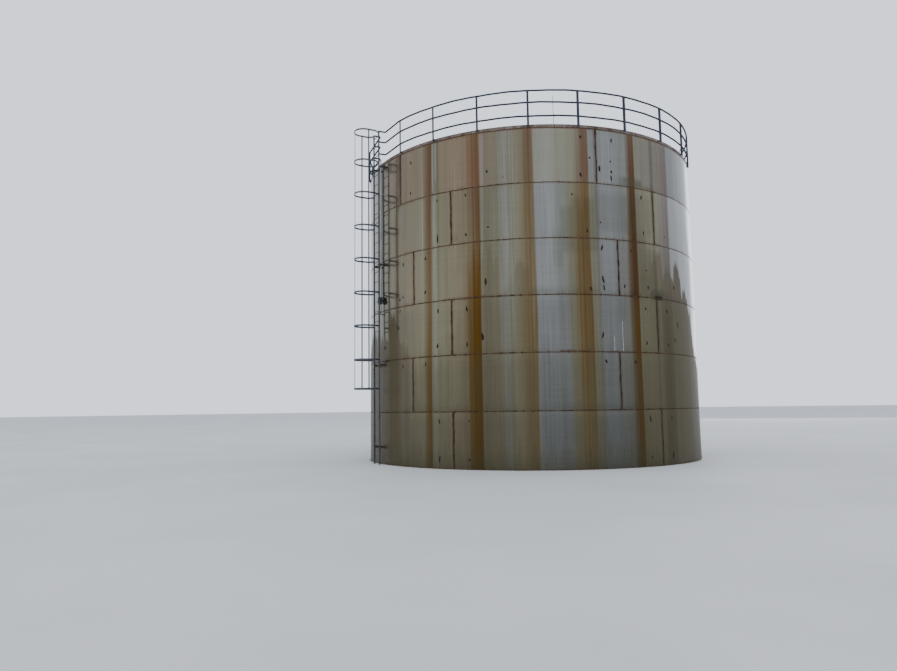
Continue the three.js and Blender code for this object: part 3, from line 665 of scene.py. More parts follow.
# Rust that has spread beside the welds, in the same form
RUST_PATCHES = [
    (64.5, 73.5, 3, 3.06, 0.04, 0.7), (33.8, 36.4, 6.03, 6.3, 0.1, 0.35), (44, 57, 7.45, 7.5, 0.04, 0.4),
    (12, 24, 7.43, 7.5, 0.04, 0.35), (30, 45, 4.5, 4.56, 0.03, 0.45), (77.2, 78.2, 7.6, 8.6, 0.2, 0.3),
    (90.5, 96.5, 4.52, 4.62, 0.05, 0.45), (97.5, 105, 4.55, 5.8, 0.3, 0.28), (91, 97, 4.55, 5.8, 0.3, 0.26),
    (18, 30, 5.98, 6.05, 0.03, 0.3), (78, 82, 2.95, 3.02, 0.04, 0.4),
]
# Black blots on the seams, in the same form, but the softness is that of the top edge
BLOTS = [
    (96.8, 100.8, 4.47, 4.60, 0.08, 0.8), (102.4, 104.6, 4.49, 4.53, 0.03, 0.7),
    (2, 5.5, 2.97, 3.03, 0.03, 1), (88, 89.4, 4.48, 4.53, 0.03, 0.8),
]
# The ragged top edge of the splashed dirt: angle, height of the edge, amount of dirt
SPLASH_EDGE = [
    (-60, 3.5, 0.4), (-34, 3.3, 0.5), (-22, 3.6, 0.6), (-16, 3.4, 0.7), (-9, 4, 0.8), (-2, 3.7, 0.75),
    (2, 3.6, 0.65), (5.2, 3.7, 0.65), (5.8, 4.3, 0.95), (10.2, 4.25, 0.9), (10.8, 3.6, 0.5), (13, 3.5, 0.35),
    (16, 3.3, 0.3), (17, 2.8, 0.15), (20, 2.5, 0.1), (43.6, 4.6, 0.1), (44.6, 5.7, 0.25), (45.6, 5.95, 0.25),
    (46.4, 5.4, 0.25), (47.4, 5.7, 0.2), (48.6, 4.7, 0.1), (52.4, 4.9, 0.15), (53, 5.35, 0.25),
    (56.4, 5.35, 0.25), (57.4, 4.6, 0.1), (59, 4, 0), (77, 4, 0), (90.6, 4.4, 0.1), (91.4, 5.3, 0.3),
    (95, 5.2, 0.3), (96.4, 5.6, 0.45), (98, 5.75, 0.5), (100.4, 5.75, 0.5), (101.4, 5.2, 0.55),
    (104, 5.4, 0.55), (105.4, 5.2, 0.8), (107.2, 5.1, 0.9), (108, 5.5, 0.9), (108.8, 5.65, 0.9),
    (110.4, 5.6, 0.9), (111.6, 5.2, 0.9), (112.4, 4.85, 0.9), (113.4, 4.75, 0.9), (114.8, 4.95, 0.9),
    (116.4, 4.8, 0.9), (118, 4.5, 0.85), (120, 4.1, 0.85), (122, 3.3, 0.85), (127, 2.9, 0.8),
    (140, 2.6, 0.7), (200, 3.2, 0.5), (230, 4.4, 0.5), (300, 3.5, 0.3),
]


def post_angle(post):
    return FIRST_POST + post * POST_STEP


def turned(angle):
    """The same angle between -60 and 300 degrees, as in the tables above."""
    return (angle + 60) % 360 - 60


def unseen_runs():
    """The same kind of runs below the posts that face away."""
    runs = []
    ranges = ((1.4, 3.2), (0.45, 0.9), (0.4, 1.0), (0.0, 0.35), (0.2, 1.5), (1.2, 3.6))
    for post in range(8, POSTS):
        left = turned(post_angle(post) + chance.uniform(-2.0, 0.2))
        width, red, amber, dark, spread, fade = [chance.uniform(*limits) for limits in ranges]
        right = left + width
        middle = left - 0.1
        lower = left - spread
        runs.append([
            (9.1, left - fade, left, right, red, 0.2 * amber, 0.2 * dark),
            (6.0, middle - fade, middle, right, 0.7 * red, 0.5 * amber, 0.3 * dark),
            (4.0, lower - fade, lower, right, 0.2 * red, amber, dark),
            (0.0, lower - fade, lower, right, 0.0, amber, dark + 0.2),
        ])
    return runs


def unseen_strips():
    strips = []
    for _ in range(28):
        left = turned(chance.uniform(140, 355))
        right = left + chance.uniform(0.4, 2.0)
        strips.append((left, right, 0.0, chance.choice([9.1, 9.1, 6.0]), chance.uniform(0.3, 0.8)))
    return strips


ALL_RUNS = RUNS + unseen_runs()
ALL_STRIPS = CLEAN_STRIPS + unseen_strips()


def between(values, low, high, soft, soft_high=None):
    """1 between two limits and 0 beyond them, with soft edges."""
    soft_high = soft_high or soft
    return smooth(values, low - soft, low + soft) * (1 - smooth(values, high - soft_high, high + soft_high))


def line_noise(angle, step, seed):
    """Random values round the tank, one every few degrees, smoothly joined."""
    count = int(round(360 / step))
    values = np.random.default_rng(seed).random(count)
    place = (angle % 360) / step
    first = np.floor(place).astype(int)
    share = smooth(place - first, 0, 1)
    return values[first % count] * (1 - share) + values[(first + 1) % count] * share


def uneven(angle, step, seed, size):
    """The same noise about zero, with a given height from its lowest to its highest."""
    return (line_noise(angle, step, seed) - 0.5) * size


def from_seam(height):
    """The distance to the nearest horizontal seam."""
    return np.abs((height - SHELL_LOW + COURSE_HEIGHT / 2) % COURSE_HEIGHT - COURSE_HEIGHT / 2)


def run_stains(angle, height):
    """The red, the amber and the dark of the rust runs."""
    torn = height + uneven(angle, 0.35, 13, 0.9)
    streaks = 0.85 + 0.3 * line_noise(angle, 0.22, 3)
    stain = np.zeros((3, len(angle)))
    for run in ALL_RUNS:
        levels = np.array(run[::-1]).T
        start, left, right, *amounts = [np.interp(torn, levels[0], level) for level in levels[1:]]
        fade = 0.7 * np.clip((angle - start) / (left - start), 0, 1)
        fade = fade + 0.3 * np.clip((angle - left) / (0.5 * (right - left)), 0, 1)
        body = fade * (1 - smooth(angle, right - 0.3, right + 0.5)) * streaks
        stain = np.maximum(stain, body * np.array(amounts))
    return stain


def washed(angle, height):
    """Where the rain keeps the shell clean."""
    wash = 0.5 * smooth(line_noise(angle, 0.3, 5), 0.8, 1.0) * smooth(height, 1.0, 6.0)
    ragged = height + uneven(angle, 0.5, 4, 0.8)
    for left, right, low, high, amount in ALL_STRIPS:
        inside = between(angle, left, right, 0.2) * between(ragged, low - 0.4, high + 0.6, 0.3)
        wash = np.maximum(wash, inside * amount)
    return wash


def film_and_shading(angle, height):
    """The film of dirt, how warm its brown is, and how light the wall is, with painted shade and light."""
    table = np.array(FILM_AND_SHADING).T
    columns = [np.interp(angle, table[0], column) for column in table[1:]]
    top_film, middle_film, low_film, warm, low_tone_and_shading, middle_tone_and_shading, top_tone_and_shading = columns
    upper = smooth(height, 7.49, 7.53)
    lower = 1 - smooth(height + uneven(angle, 0.6, 7, 0.4), 2.6, 4.9)
    film = upper * top_film + (1 - upper) * (1 - lower) * middle_film + lower * low_film
    # Painted light and shade: beyond 30 degrees the middle courses grow lighter upwards, before it slightly
    # darker upwards.
    middle_tone_and_shading = middle_tone_and_shading * (1 + 0.12 * (smooth(angle, 30, 100) - 0.3) * (height - 6.0))
    # Painted shade: below about 4.5 m the wall takes the lower lightness, which is mostly darker.
    tone_and_shading = low_tone_and_shading + (middle_tone_and_shading - low_tone_and_shading) * smooth(height, 4.1, 4.9)
    tone_and_shading = tone_and_shading + (top_tone_and_shading - tone_and_shading) * upper
    tone_and_shading = tone_and_shading * (1 + uneven(angle, 0.3, 12, 0.16))
    return film + uneven(angle, 0.8, 6, 0.2), warm * (0.55 + 0.65 * upper), tone_and_shading


def patched(patches, angle, height, edge, soft_sides):
    """The amount of the strongest patch at each point."""
    stain = np.zeros_like(angle)
    for left, right, low, high, soft, amount in patches:
        level = between(height + edge * soft, low, high, soft)
        stain = np.maximum(stain, between(angle + edge, left, right, soft_sides) * level * amount)
    return stain


def stains_and_shading(angle, height):
    """All stain amounts, and the tone with its painted shade and light, at points of the shell, by name."""
    angle = turned(angle)
    edge = uneven(angle, 0.35, 1, 0.5) + uneven(angle + height * 0.7, 1.3, 2, 0.5)
    rust, amber, shade = run_stains(angle, height)
    film, warm, tone_and_shading = film_and_shading(angle, height)
    tone_and_shading = tone_and_shading * (1 - 0.3 * shade)
    grime = patched(PATCHES, angle, height, edge, 0.4) * (0.7 + 0.5 * line_noise(angle, 0.3, 17))
    low_band = 1 - smooth(height + uneven(angle, 0.6, 9, 0.5), 0.15, 1.3)
    grime = np.maximum(grime, 0.55 * low_band)
    spread = patched(RUST_PATCHES, angle, height, edge, 0.5) * (0.6 + 0.8 * line_noise(angle, 0.5, 16))
    rust = np.maximum(rust, spread)

    edges = np.array(SPLASH_EDGE).T
    top, soil = [np.interp(angle, edges[0], column) for column in edges[1:]]
    top = top + uneven(angle, 0.45, 8, 0.3) + uneven(angle, 0.28, 15, 0.35)
    splash = np.clip(0.5 + (top - height) / 0.8, 0, 1)

    dark_share = 0.35 + 0.4 * line_noise(angle + height, 1.7, 14) + 0.25 * (height < 5)
    seam_edge = 0.014 + 0.035 * line_noise(angle, 0.5, 11) ** 3
    seam = dark_share * (1 - smooth(from_seam(height), 0.004, seam_edge))
    drip = line_noise(angle, 0.28, 10)
    above = (height - SHELL_LOW) % COURSE_HEIGHT
    below = COURSE_HEIGHT - above
    rust = np.maximum(rust, 0.42 * (1 - smooth(above, 0.02, 0.05 + 0.1 * drip)) * smooth(drip, 0.2, 0.7))
    rust = np.maximum(rust, 0.5 * (1 - smooth(below, 0.01, 0.03 + 0.12 * drip ** 2)))
    for left, right, low, high, soft, amount in BLOTS:
        inside = between(angle + edge, left, right, 0.9) * between(height, low, high, 0.03, soft)
        halo = between(angle + edge, left - 1, right + 1, 1.2) * between(height, low, high + 0.08, 0.02, 0.15)
        seam = np.maximum(seam, inside * amount)
        tone_and_shading = tone_and_shading * (1 - 0.4 * halo * amount)
        rust = np.maximum(rust, 0.6 * halo * amount)
    rust = np.maximum(rust, 0.75 * smooth(height, SHELL_TOP - 0.06, SHELL_TOP - 0.01))
    return {
        "rust": rust, "amber": amber, "grime": grime, "wash": washed(angle, height), "film": film,
        "warm": warm, "tone_and_shading": tone_and_shading, "seam": seam, "splash": splash, "soil": soil,
    }


# Shell

COLUMN = 0.27
ROW = 0.1
MIDDLE_ROWS = 14
EDGE_ROWS = [0.0, 0.012, 0.03, 0.06]

# Waves in the thin plate: height, waves round the tank, waves upwards, start
WAVES = [
    (0.0011, 9, 1.1, 0.3), (0.0009, 17, 2.3, 1.9), (0.0007, 29, 1.7, 4.4), (0.0005, 47, 3.9, 2.2),
    (0.0003, 83, 0.8, 5.1),
]
# A weld in section: share of half its width, share of its height
BEAD_SECTION = [(-1, 0.0), (-0.6, 0.75), (0, 1.0), (0.6, 0.75), (1, 0.0)]
BEAD_ROOT = 0.002
RING_WELD = {"width": 0.023, "proud": 0.003}
UPRIGHT_WELD = {"width": 0.026, "proud": 0.004}
DRIP = {"width": 0.011, "proud": 0.001}


def seams(course):
    """The angles of a course's upright seams, with the first again at the end."""
    start = SEAM_START[course]
    return [start + i * PLATE_ANGLE for i in range(PLATES)] + [start + 360]


def course_low(course):
    return SHELL_LOW + course * COURSE_HEIGHT


def buckle(angle, height):
    """How far the thin plate stands out of true, in metres."""
    turn = np.radians(angle)
    lift = 0
    for size, sideways, upwards, start in WAVES:
        lift = lift + size * np.sin(sideways * turn + upwards * height + start)
    return lift - 0.0025 * np.exp(-((from_seam(height) / 0.09) ** 2))


def round_points(angle, radius, height):
    """Points about the tank's axis, as an array."""
    turn = np.radians(angle)
    return np.stack([radius * np.sin(turn), -radius * np.cos(turn), height + 0 * turn], -1)


def plate_faces(columns, rows):
    """A grid outside, then its lower and upper edges again on the inside."""
    under = rows * columns
    over = under + columns
    top = (rows - 1) * columns
    faces = []
    for i in range(columns - 1):
        for a in range(i, i + top, columns):
            faces.append((a, a + 1, a + 1 + columns, a + columns))
        faces.append((under + i + 1, under + i, over + i, over + i + 1))
        faces.append((under + i, under + i + 1, i + 1, i))
        faces.append((top + i, top + i + 1, over + i + 1, over + i))
    for column, step in ((0, 1), (columns - 1, -1)):
        ring = [under + column] + [j * columns + column for j in range(rows)] + [over + column]
        faces.append(ring[::step])
    return faces


def shell_plate(course, plate):
    first, last = seams(course)[plate:plate + 2]
    columns = int(round((last - first) / COLUMN)) + 1
    angles = np.linspace(first, last, columns)
    low = course_low(course)
    margin = EDGE_ROWS[-1] + ROW / 2
    middle = np.linspace(margin, COURSE_HEIGHT - margin, MIDDLE_ROWS)
    offsets = np.concatenate([EDGE_ROWS, middle, COURSE_HEIGHT - np.array(EDGE_ROWS[::-1])])
    angle, height = (values.ravel() for values in np.meshgrid(angles, low + offsets))
    inner = SHELL_RADIUS - COURSE_THICKNESS[course]
    points = [round_points(angle, SHELL_RADIUS + buckle(angle, height), height)]
    for edge_height in (low, low + COURSE_HEIGHT):
        points.append(round_points(angles, inner, edge_height))
    points = np.concatenate(points)
    solid = Solid()
    solid.add(points, plate_faces(columns, len(offsets)))
    made = solid.dress(f"shell_course_{course + 1}_plate_{plate + 1}", SHELL, crease=50)

    angle = np.concatenate([angle, angles, angles])
    amounts = stains_and_shading(angle, points[:, 2])
    from_edge = np.minimum(np.abs(angle - first), np.abs(angle - last)) * math.radians(SHELL_RADIUS)
    ragged = 0.012 + 0.02 * np.random.default_rng(course * 10 + plate).random(len(angle))
    amounts["seam"] = np.maximum(amounts["seam"], 0.8 * (1 - smooth(from_edge, 0.004, ragged + 0.014)))
    amounts["rust"] = np.maximum(amounts["rust"], 0.6 * (1 - smooth(from_edge, 0.015, 0.02 + 3 * ragged)))
    for label, values in amounts.items():
        layer = made.data.attributes.new(label, "FLOAT", "POINT")
        layer.data.foreach_set("value", np.asarray(values, np.float32))


def bead(solid, angle, height, width, proud, ring=False):
    """A lumpy weld with a low arch in section, up the shell or as a ring round it."""
    count = len(angle)
    lump = 1 + 0.35 * (np.random.default_rng(count).random(count) - 0.5)
    wall = SHELL_RADIUS + buckle(angle, height)
    rows = []
    for across, lift in BEAD_SECTION:
        radius = wall - BEAD_ROOT * (lift == 0) + proud * lift * lump
        half = across * width / 2 * (0.85 + 0.3 * lump)
        if ring:
            rows.append(round_points(angle, radius, height + half))
        else:
            rows.append(round_points(angle + np.degrees(half / SHELL_RADIUS), radius, height))
    faces = tube_faces(count, len(rows), ring)
    solid.add(np.stack(rows, 1).reshape(-1, 3), [face[::-1] for face in faces] if ring else faces)


def welds():
    rings = Solid()
    angle = np.linspace(0, 360, 1200, endpoint=False)
    for course in range(1, COURSES + 1):
        wander = 0.003 * np.sin(np.radians(angle) * 31 + course) + 0.002 * np.sin(np.radians(angle) * 77)
        bead(rings, angle, course_low(course) + wander, **RING_WELD, ring=True)
    rings.piece("horizontal_welds", BEAD, crease=80)
    uprights = Solid()
    for course in range(COURSES):
        height = np.linspace(course_low(course), course_low(course) + COURSE_HEIGHT, 70)
        for seam in seams(course)[:-1]:
            wander = 0.15 * np.sin(height * 7 + seam) + 0.10 * np.sin(height * 23 + seam * 2)
            bead(uprights, seam + wander, height, **UPRIGHT_WELD)
    uprights.piece("upright_welds", UPRIGHT_BEAD, crease=80)


# Marks where lifting lugs were cut off and ground down: angle, height, size
SCARS = [
    (18, 8.63, 1), (17.7, 7.74, 1), (28.5, 7.31, 1), (28.5, 6.26, 1.3), (38.2, 7.33, 1), (38.2, 6.24, 1),
    (13.8, 5.71, 1), (13.6, 4.77, 1), (23.8, 5.74, 1), (23.6, 4.8, 1), (12, 4.72, 1), (12, 4.38, 1),
    (28.4, 4.24, 1.2), (28.1, 3.29, 1.15), (38.1, 4.22, 1.2), (38, 3.27, 1.2), (13.4, 2.79, 1),
    (23.5, 2.8, 1), (2.3, 3.4, 1), (45, 7.9, 1), (45, 6.38, 0.7), (49.7, 7.7, 0.6), (69.5, 7.18, 0.9),
    (72.6, 8.76, 1), (72.3, 7.71, 1), (73.8, 6.2, 1), (74.3, 4.66, 1), (75.3, 8.2, 0.8), (78.3, 7.91, 1.2),
    (82.6, 8.74, 1.2), (82, 8.15, 0.85), (82.2, 7.86, 0.9), (82.1, 7.68, 1.3), (78, 6.45, 0.8),
    (78.2, 5.77, 1.2), (85.3, 4.76, 1), (88, 5.74, 0.8), (78.2, 2.76, 1), (88.1, 2.75, 1), (92.9, 7.27, 1),
    (93.3, 6.27, 1), (103.1, 6.29, 0.6), (93.8, 5.25, 0.7), (94.3, 4.79, 1), (107.3, 4.9, 1),
    (92.8, 4.19, 1), (92.8, 3.27, 1), (102.6, 4.18, 1), (102.7, 3.25, 1), (108.7, 3.83, 1.2),
    (106.5, 3.4, 1), (44, 4.91, 1.3), (42.8, 3.45, 1.3), (78.2, 4.92, 1.35), (78.4, 4.7, 1.2),
    (77.5, 3.43, 1.3),
]


def unseen_scars():
    """Four beside each upright seam that faces away or is hidden."""
    from_end = 0.25
    aside = 4.9
    made = []
    for course in range(COURSES):
        for seam in seams(course)[:-1]:
            for side in (-1, 1):
                for height in (from_end, COURSE_HEIGHT - from_end):
                    angle = turned(seam + side * aside)
                    shown = -4 < angle < 112 and course > 0
                    if not shown:
                        made.append((angle, course_low(course) + height, chance.uniform(0.7, 1.3)))
    return made


def scars():
    solid = Solid()
    corners = 12
    sunk = 0.004
    faces = []
    for i in range(corners):
        j = (i + 1) % corners
        faces.append((i, j, corners + j, corners + i))
        faces.append((corners + i, corners + j, 2 * corners + 1))
        faces.append((j, i, 2 * corners))
    for angle, height, size in SCARS + unseen_scars():
        half_high = 0.062 * size ** 2.5 * chance.uniform(0.8, 1.15)
        half_wide = 0.030 * chance.uniform(0.8, 1.3)
        lean = chance.uniform(-0.25, 0.25)
        rim = []
        crown = []
        for turn in round_turn(corners):
            reach = 1 + chance.uniform(-0.3, 0.25)
            y = half_wide * math.cos(turn) * reach + lean * half_high * math.sin(turn)
            z = half_high * math.sin(turn) * reach
            rim.append((-sunk, y, z))
            crown.append((0.0035 * chance.uniform(0.7, 1.3), y * 0.72, z * 0.8))
        points = rim + crown + [(-sunk, 0, 0), (0.005, 0, 0)]
        solid.add(points, faces, at_angle(angle, SHELL_RADIUS, height))
    solid.piece("lug_scars", SCAR, crease=70)


# The angle and the top of each drip, and where they end
DRIPS = [(84.0, 3.82), (81.1, 3.4)]
DRIP_END = 3.03


def drips():
    """Thin runs of spilt white product."""
    solid = Solid()
    for angle, high in DRIPS:
        height = np.linspace(DRIP_END, high, 24)
        bead(solid, angle + 0.03 * np.sin(height * 14), height, **DRIP)
    solid.piece("white_drips", WHITE, crease=80)


# Bottom, curb and roof

ROUND = 720


def bottom():
    solid = Solid()
    profile = [(0, 0), (BOTTOM_RADIUS - 0.003, 0), (BOTTOM_RADIUS - 0.002, SHELL_LOW), (0, SHELL_LOW)]
    lathe(solid, profile, 360)
    solid.dress("bottom_plate", FITTINGS)
    fillet = Solid()
    inner = SHELL_RADIUS - 0.002
    profile = [(inner, SHELL_LOW), (SHELL_RADIUS + 0.012, SHELL_LOW),
               (SHELL_RADIUS + 0.007, SHELL_LOW + 0.007), (inner, SHELL_LOW + 0.013)]
    lathe(fillet, profile, ROUND, closed=True)
    fillet.piece("bottom_fillet_weld", BEAD)


def curb():
    solid = Solid()
    inner = SHELL_RADIUS - CURB_THICKNESS
    under = CURB_TOP - CURB_THICKNESS
    edge = 0.002
    root = 0.006
    lathe(solid, [
        (inner, SHELL_TOP), (SHELL_RADIUS, SHELL_TOP), (SHELL_RADIUS, CURB_TOP - edge),
        (SHELL_RADIUS - edge, CURB_TOP), (ROOF_INNER, CURB_TOP), (ROOF_INNER, under), (inner - root, under),
        (inner, under - root),
    ], ROUND, closed=True)
    solid.dress("curb_angle", CURB)
    joints = Solid()
    for angle in range(5, 365, 60):
        place = at_angle(angle, SHELL_RADIUS)
        block(joints, (-0.001, -0.007, SHELL_TOP + 0.004), (0.003, 0.007, CURB_TOP - edge), place, 0.001)
        block(joints, (-0.01, -0.005, CURB_TOP - edge), (0, 0.005, CURB_TOP + 0.002), place, 0.001)
    joints.piece("curb_joint_welds", BEAD)


def roof_height(radius):
    return ROOF_TOP + (ROOF_INNER - radius) * ROOF_SLOPE


def on_roof(angle, radius):
    """The middle of a lap weld."""
    return spot(angle, radius, roof_height(radius) + 0.001)


def roof():
    solid = Solid()
    lathe(solid, [
        (0, roof_height(0) - ROOF_THICKNESS), (ROOF_INNER, CURB_TOP), (ROOF_EDGE, CURB_TOP),
        (ROOF_EDGE, ROOF_TOP), (ROOF_INNER, ROOF_TOP), (LAP_RING, roof_height(LAP_RING)), (0, roof_height(0)),
    ], 360)
    solid.dress("roof_plate", ROOF, crease=60)
    laps = Solid()
    lap = rectangle(0.022, 0.007)
    for i in range(LAPS):
        inner = LAP_RING if i % 2 else LAP_START
        radii = np.linspace(inner, LAP_END, 14)
        sweep(laps, [on_roof(FIRST_LAP + i * 360 / LAPS, radius) for radius in radii], lap)
    sweep(laps, [on_roof(angle, LAP_RING) for angle in range(0, 360, 3)], lap, closed=True)
    edge = [spot(angle, ROOF_EDGE + 0.003, CURB_TOP + 0.003) for angle in range(360)]
    sweep(laps, edge, circle(0.0045, 6), closed=True)
    laps.piece("roof_lap_welds", BEAD, crease=80)


def roof_manhole():
    bore = 0.29
    neck = 0.298
    flange = 0.33
    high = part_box("roof_manhole")[1].z
    lid_top = high + 0.012
    foot = roof_height(ROOF_MANHOLE_RADIUS) - 0.03
    under = high - 0.016
    place = at_angle(ROOF_MANHOLE_ANGLE, ROOF_MANHOLE_RADIUS)
    solid = Solid()
    edge = flange - 0.002
    profile = [(bore, foot), (neck, foot), (neck, under), (edge, under), (edge, high), (bore, high)]
    lathe(solid, profile, 72, place, closed=True)
    solid.dress("roof_manhole", FITTINGS)
    lid = Solid()
    lathe(lid, disc(flange, high, lid_top), 72, place)
    seat = moved(0, 0, lid_top - 0.004) @ quarter("Z")
    handle(lid, place @ seat, half=0.09, rise=0.055)
    block(lid, (-0.37, -0.05, high - 0.03), (-0.30, 0.05, lid_top + 0.004), place, 0.003)
    pin = moved(-0.36, 0, lid_top) @ quarter("X")
    lathe(lid, [(0, -0.07), (0.012, -0.07), (0.012, 0.07), (0, 0.07)], 14, place @ pin)
    lid.dress("roof_manhole_lid", FITTINGS)
    bolts = Solid()
    bolt_ring(bolts, place, count=16, radius=0.311, height=lid_top, size=0.012, offset=0.5)
    bolts.piece("roof_manhole_bolts", FASTENERS)


def roof_vent():
    bore = 0.096
    neck = 0.102
    collar = 0.16
    hood_radius = 0.19
    sheet = 0.005
    top = roof_height(0)
    neck_top = top + 0.32
    hood_top = neck_top + 0.09
    solid = Solid()
    pipe = [(bore, top - 0.03), (neck, top - 0.03), (neck, neck_top), (bore, neck_top)]
    skirt = [(neck, top), (collar, top - 0.004), (collar, top + 0.004), (neck, top + 0.008)]
    for profile in (pipe, skirt):
        lathe(solid, profile, 48, closed=True)
    hood = []
    for turn in quarter_turn(9)[1:]:
        hood.append((hood_radius * math.sin(turn), hood_top - 0.117 * (1 - math.cos(turn)) ** 0.9))
    under = [(radius * 0.97, height - sheet) for radius, height in hood[::-1]]
    lathe(solid, [(0, hood_top)] + hood + under + [(0, hood_top - sheet)], 48)
    for turn in (0, 1):
        block(solid, (-0.1, -0.01, neck_top - 0.03), (0.1, 0.01, hood_top - 0.03), quarter("Z", turn))
    solid.dress("roof_vent", FITTINGS, crease=40)


def lightning_rod():
    low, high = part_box("lightning_rod")
    x = (low.x + high.x) / 2
    y = (low.y + high.y) / 2
    foot = roof_height(math.hypot(x, y))
    start = foot + 0.05
    solid = Solid()
    socket = [(0, -0.012), (0.068, -0.012), (0.07, 0.010), (0.066, 0.012), (0.026, 0.013), (0.022, 0.09),
              (0, 0.09)]
    lathe(solid, socket, 32, moved(x, y, foot))
    shares = np.linspace(0, 1, 30)
    path = []
    for share in shares:
        bend = 0.02 * share ** 2
        path.append((x - bend, y - 0.5 * bend, start + share * (high.z - start)))
    sweep(solid, path, circle(0.012, 12), up=Vector((0, 1, 0)), scale=1 - 0.35 * shares)
    solid.dress("lightning_rod", BRACKETS)


# Guardrail

def section_posts(section):
    first = section * POSTS_PER_SECTION
    return range(first, min(first + POSTS_PER_SECTION, POSTS))


def rail_end(side, height):
    """From the last post a rail runs straight to the ladder's line, then turns out to the stringer."""
    points = []
    for turn in quarter_turn(9):
        x = LADDER_HALF + RAIL_BEND * (1 - math.sin(turn))
        y = RAIL_TURN_Y - RAIL_BEND * (1 - math.cos(turn))
        points.append(Vector((side * x, y, height)))
    return points + [Vector((side * LADDER_HALF, STRINGER_BACK, height))]


def rail_path(section, rise):
    """A slightly wavy rail. It goes halfway to the next section's first post, or ends at the ladder."""
    posts = section_posts(section)
    at_first = posts[0] == 0
    at_last = posts[-1] == POSTS - 1
    start = post_angle(posts[0]) - (0 if at_first else POST_STEP / 2)
    finish = post_angle(posts[-1]) + (0 if at_last else POST_STEP / 2)
    height = CURB_TOP + rise
    angles = np.linspace(start, finish, int(finish - start) + 1)
    path = [spot(angle, POST_RADIUS, height) for angle in angles]
    if at_first:
        path = rail_end(1, height)[::-1] + path
    if at_last:
        path = path + rail_end(-1, height)
    for i, point in enumerate(path[1:-1], 1):
        point.z += 0.004 * math.sin(i * 0.37 + section * 2 + rise * 9) + 0.002 * math.sin(i * 1.1 + rise * 31)
    return path


def guardrail(section):
    half = POST_WIDTH / 2
    deep = POST_DEPTH / 2
    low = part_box("guardrail_1")[0].z
    high = CURB_TOP + RAIL_HEIGHTS[-1] + 0.012
    foot = FOOT_WIDTH / 2
    foot_top = ROOF_TOP + 0.006
    brace = [(0.006 - FOOT_REACH, 0, foot_top), (0.006 - deep, 0, CURB_TOP + 0.188)]
    weld_radius = RAIL_RADIUS + 0.001
    rails = Solid()
    marks = Solid()
    for rise in RAIL_HEIGHTS:
        sweep(rails, rail_path(section, rise), circle(RAIL_RADIUS, 14))
    for post in section_posts(section):
        angle = post_angle(post) + POST_SHIFT.get(post, 0)
        place = at_angle(angle, POST_RADIUS)
        block(rails, (deep - POST_LEG, -half, low), (deep, half, high), place, 0.0015)
        block(rails, (-deep, -half, low), (deep - POST_LEG, -half + POST_LEG, high), place, 0.0015)
        block(rails, (-FOOT_REACH, -foot, ROOF_TOP), (0.004 - deep, foot, foot_top), place, 0.001)
        if post in BRACED_POSTS:
            slope = [place @ Vector(end) for end in brace]
            sweep(rails, slope, rectangle(0.03, 0.008), up=direction(angle))
        for rise in RAIL_HEIGHTS:
            for y in (-half - 0.001, -half + POST_LEG + 0.001):
                ring = [place @ Vector((x, y, CURB_TOP + rise + z)) for x, z in circle(weld_radius, 10)]
                sweep(marks, ring, circle(0.0025, 5), up=direction(angle + 90), closed=True)
        for y in (-half - 0.003, half):
            corner = (-deep + 0.004, y + 0.003, CURB_TOP - 0.004)
            block(marks, (-deep - 0.001, y, low + 0.004), corner, place, 0.001)
    name = f"guardrail_{section + 1}"
    rails.dress(name, RAILS)
    marks.piece(f"{name}_welds", FASTENERS, crease=80)


# Ladder and its cage

def side_bar(solid, side, x, y, z, chamfer):
    """A bar on one side of the ladder, between two values on each axis."""
    low_x, high_x = sorted((side * x[0], side * x[1]))
    block(solid, (low_x, y[0], z[0]), (high_x, y[1], z[1]), None, chamfer)


def side_bolt(solid, side, x, y, z, washer=True):
    """A bolt whose head points away from the ladder's middle."""
    bolt(solid, moved(side * x, y, z) @ quarter("Y", side), LADDER_BOLT, washer)


def ladder():
    solid = Solid()
    bolts = Solid()
    brackets = Solid()
    width = (LADDER_HALF - STRINGER_THICKNESS / 2, STRINGER_FACE)
    plate = (STRINGER_FACE, STRINGER_FACE + JOINT_PLATE)
    half_joint = JOINT_LENGTH / 2
    half_bar = STANDOFF_HEIGHT / 2
    half_wide = WALL_PLATE_WIDTH / 2
    half_high = WALL_PLATE_HEIGHT / 2
    for side in (-1, 1):
        side_bar(solid, side, width, (STRINGER_FRONT, STRINGER_BACK), (0, LADDER_TOP), 0.0015)
        place = at_angle(math.degrees(math.asin(side * LADDER_HALF / SHELL_RADIUS)), SHELL_RADIUS)
        for height in STANDOFFS:
            bar = (STRINGER_BACK - 0.01, -SHELL_RADIUS + 0.004)
            side_bar(brackets, side, width, bar, (height - half_bar, height + half_bar), 0.0015)
            low = (-0.004, -half_wide, height - half_high)
            block(brackets, low, (0.007, half_wide, height + half_high), place)
        for height in STRINGER_JOINTS:
            depth = (STRINGER_FRONT + 0.005, STRINGER_BACK - 0.005)
            side_bar(solid, side, plate, depth, (height - half_joint, height + half_joint), 0.001)
            for offset in JOINT_BOLTS:
                side_bolt(bolts, side, plate[1], LADDER_Y, height + offset)
    reach = STRINGER_FACE + 0.003
    for i in range(1, RUNGS + 1):
        place = moved(0, LADDER_Y, i * RUNG_PITCH) @ quarter("Y")
        lathe(solid, disc(RUNG_RADIUS, -reach, reach), 16, place)
    solid.dress("ladder", LADDER)
    bolts.piece("ladder_bolts", FASTENERS)
    brackets.piece("ladder_brackets", BRACKETS)


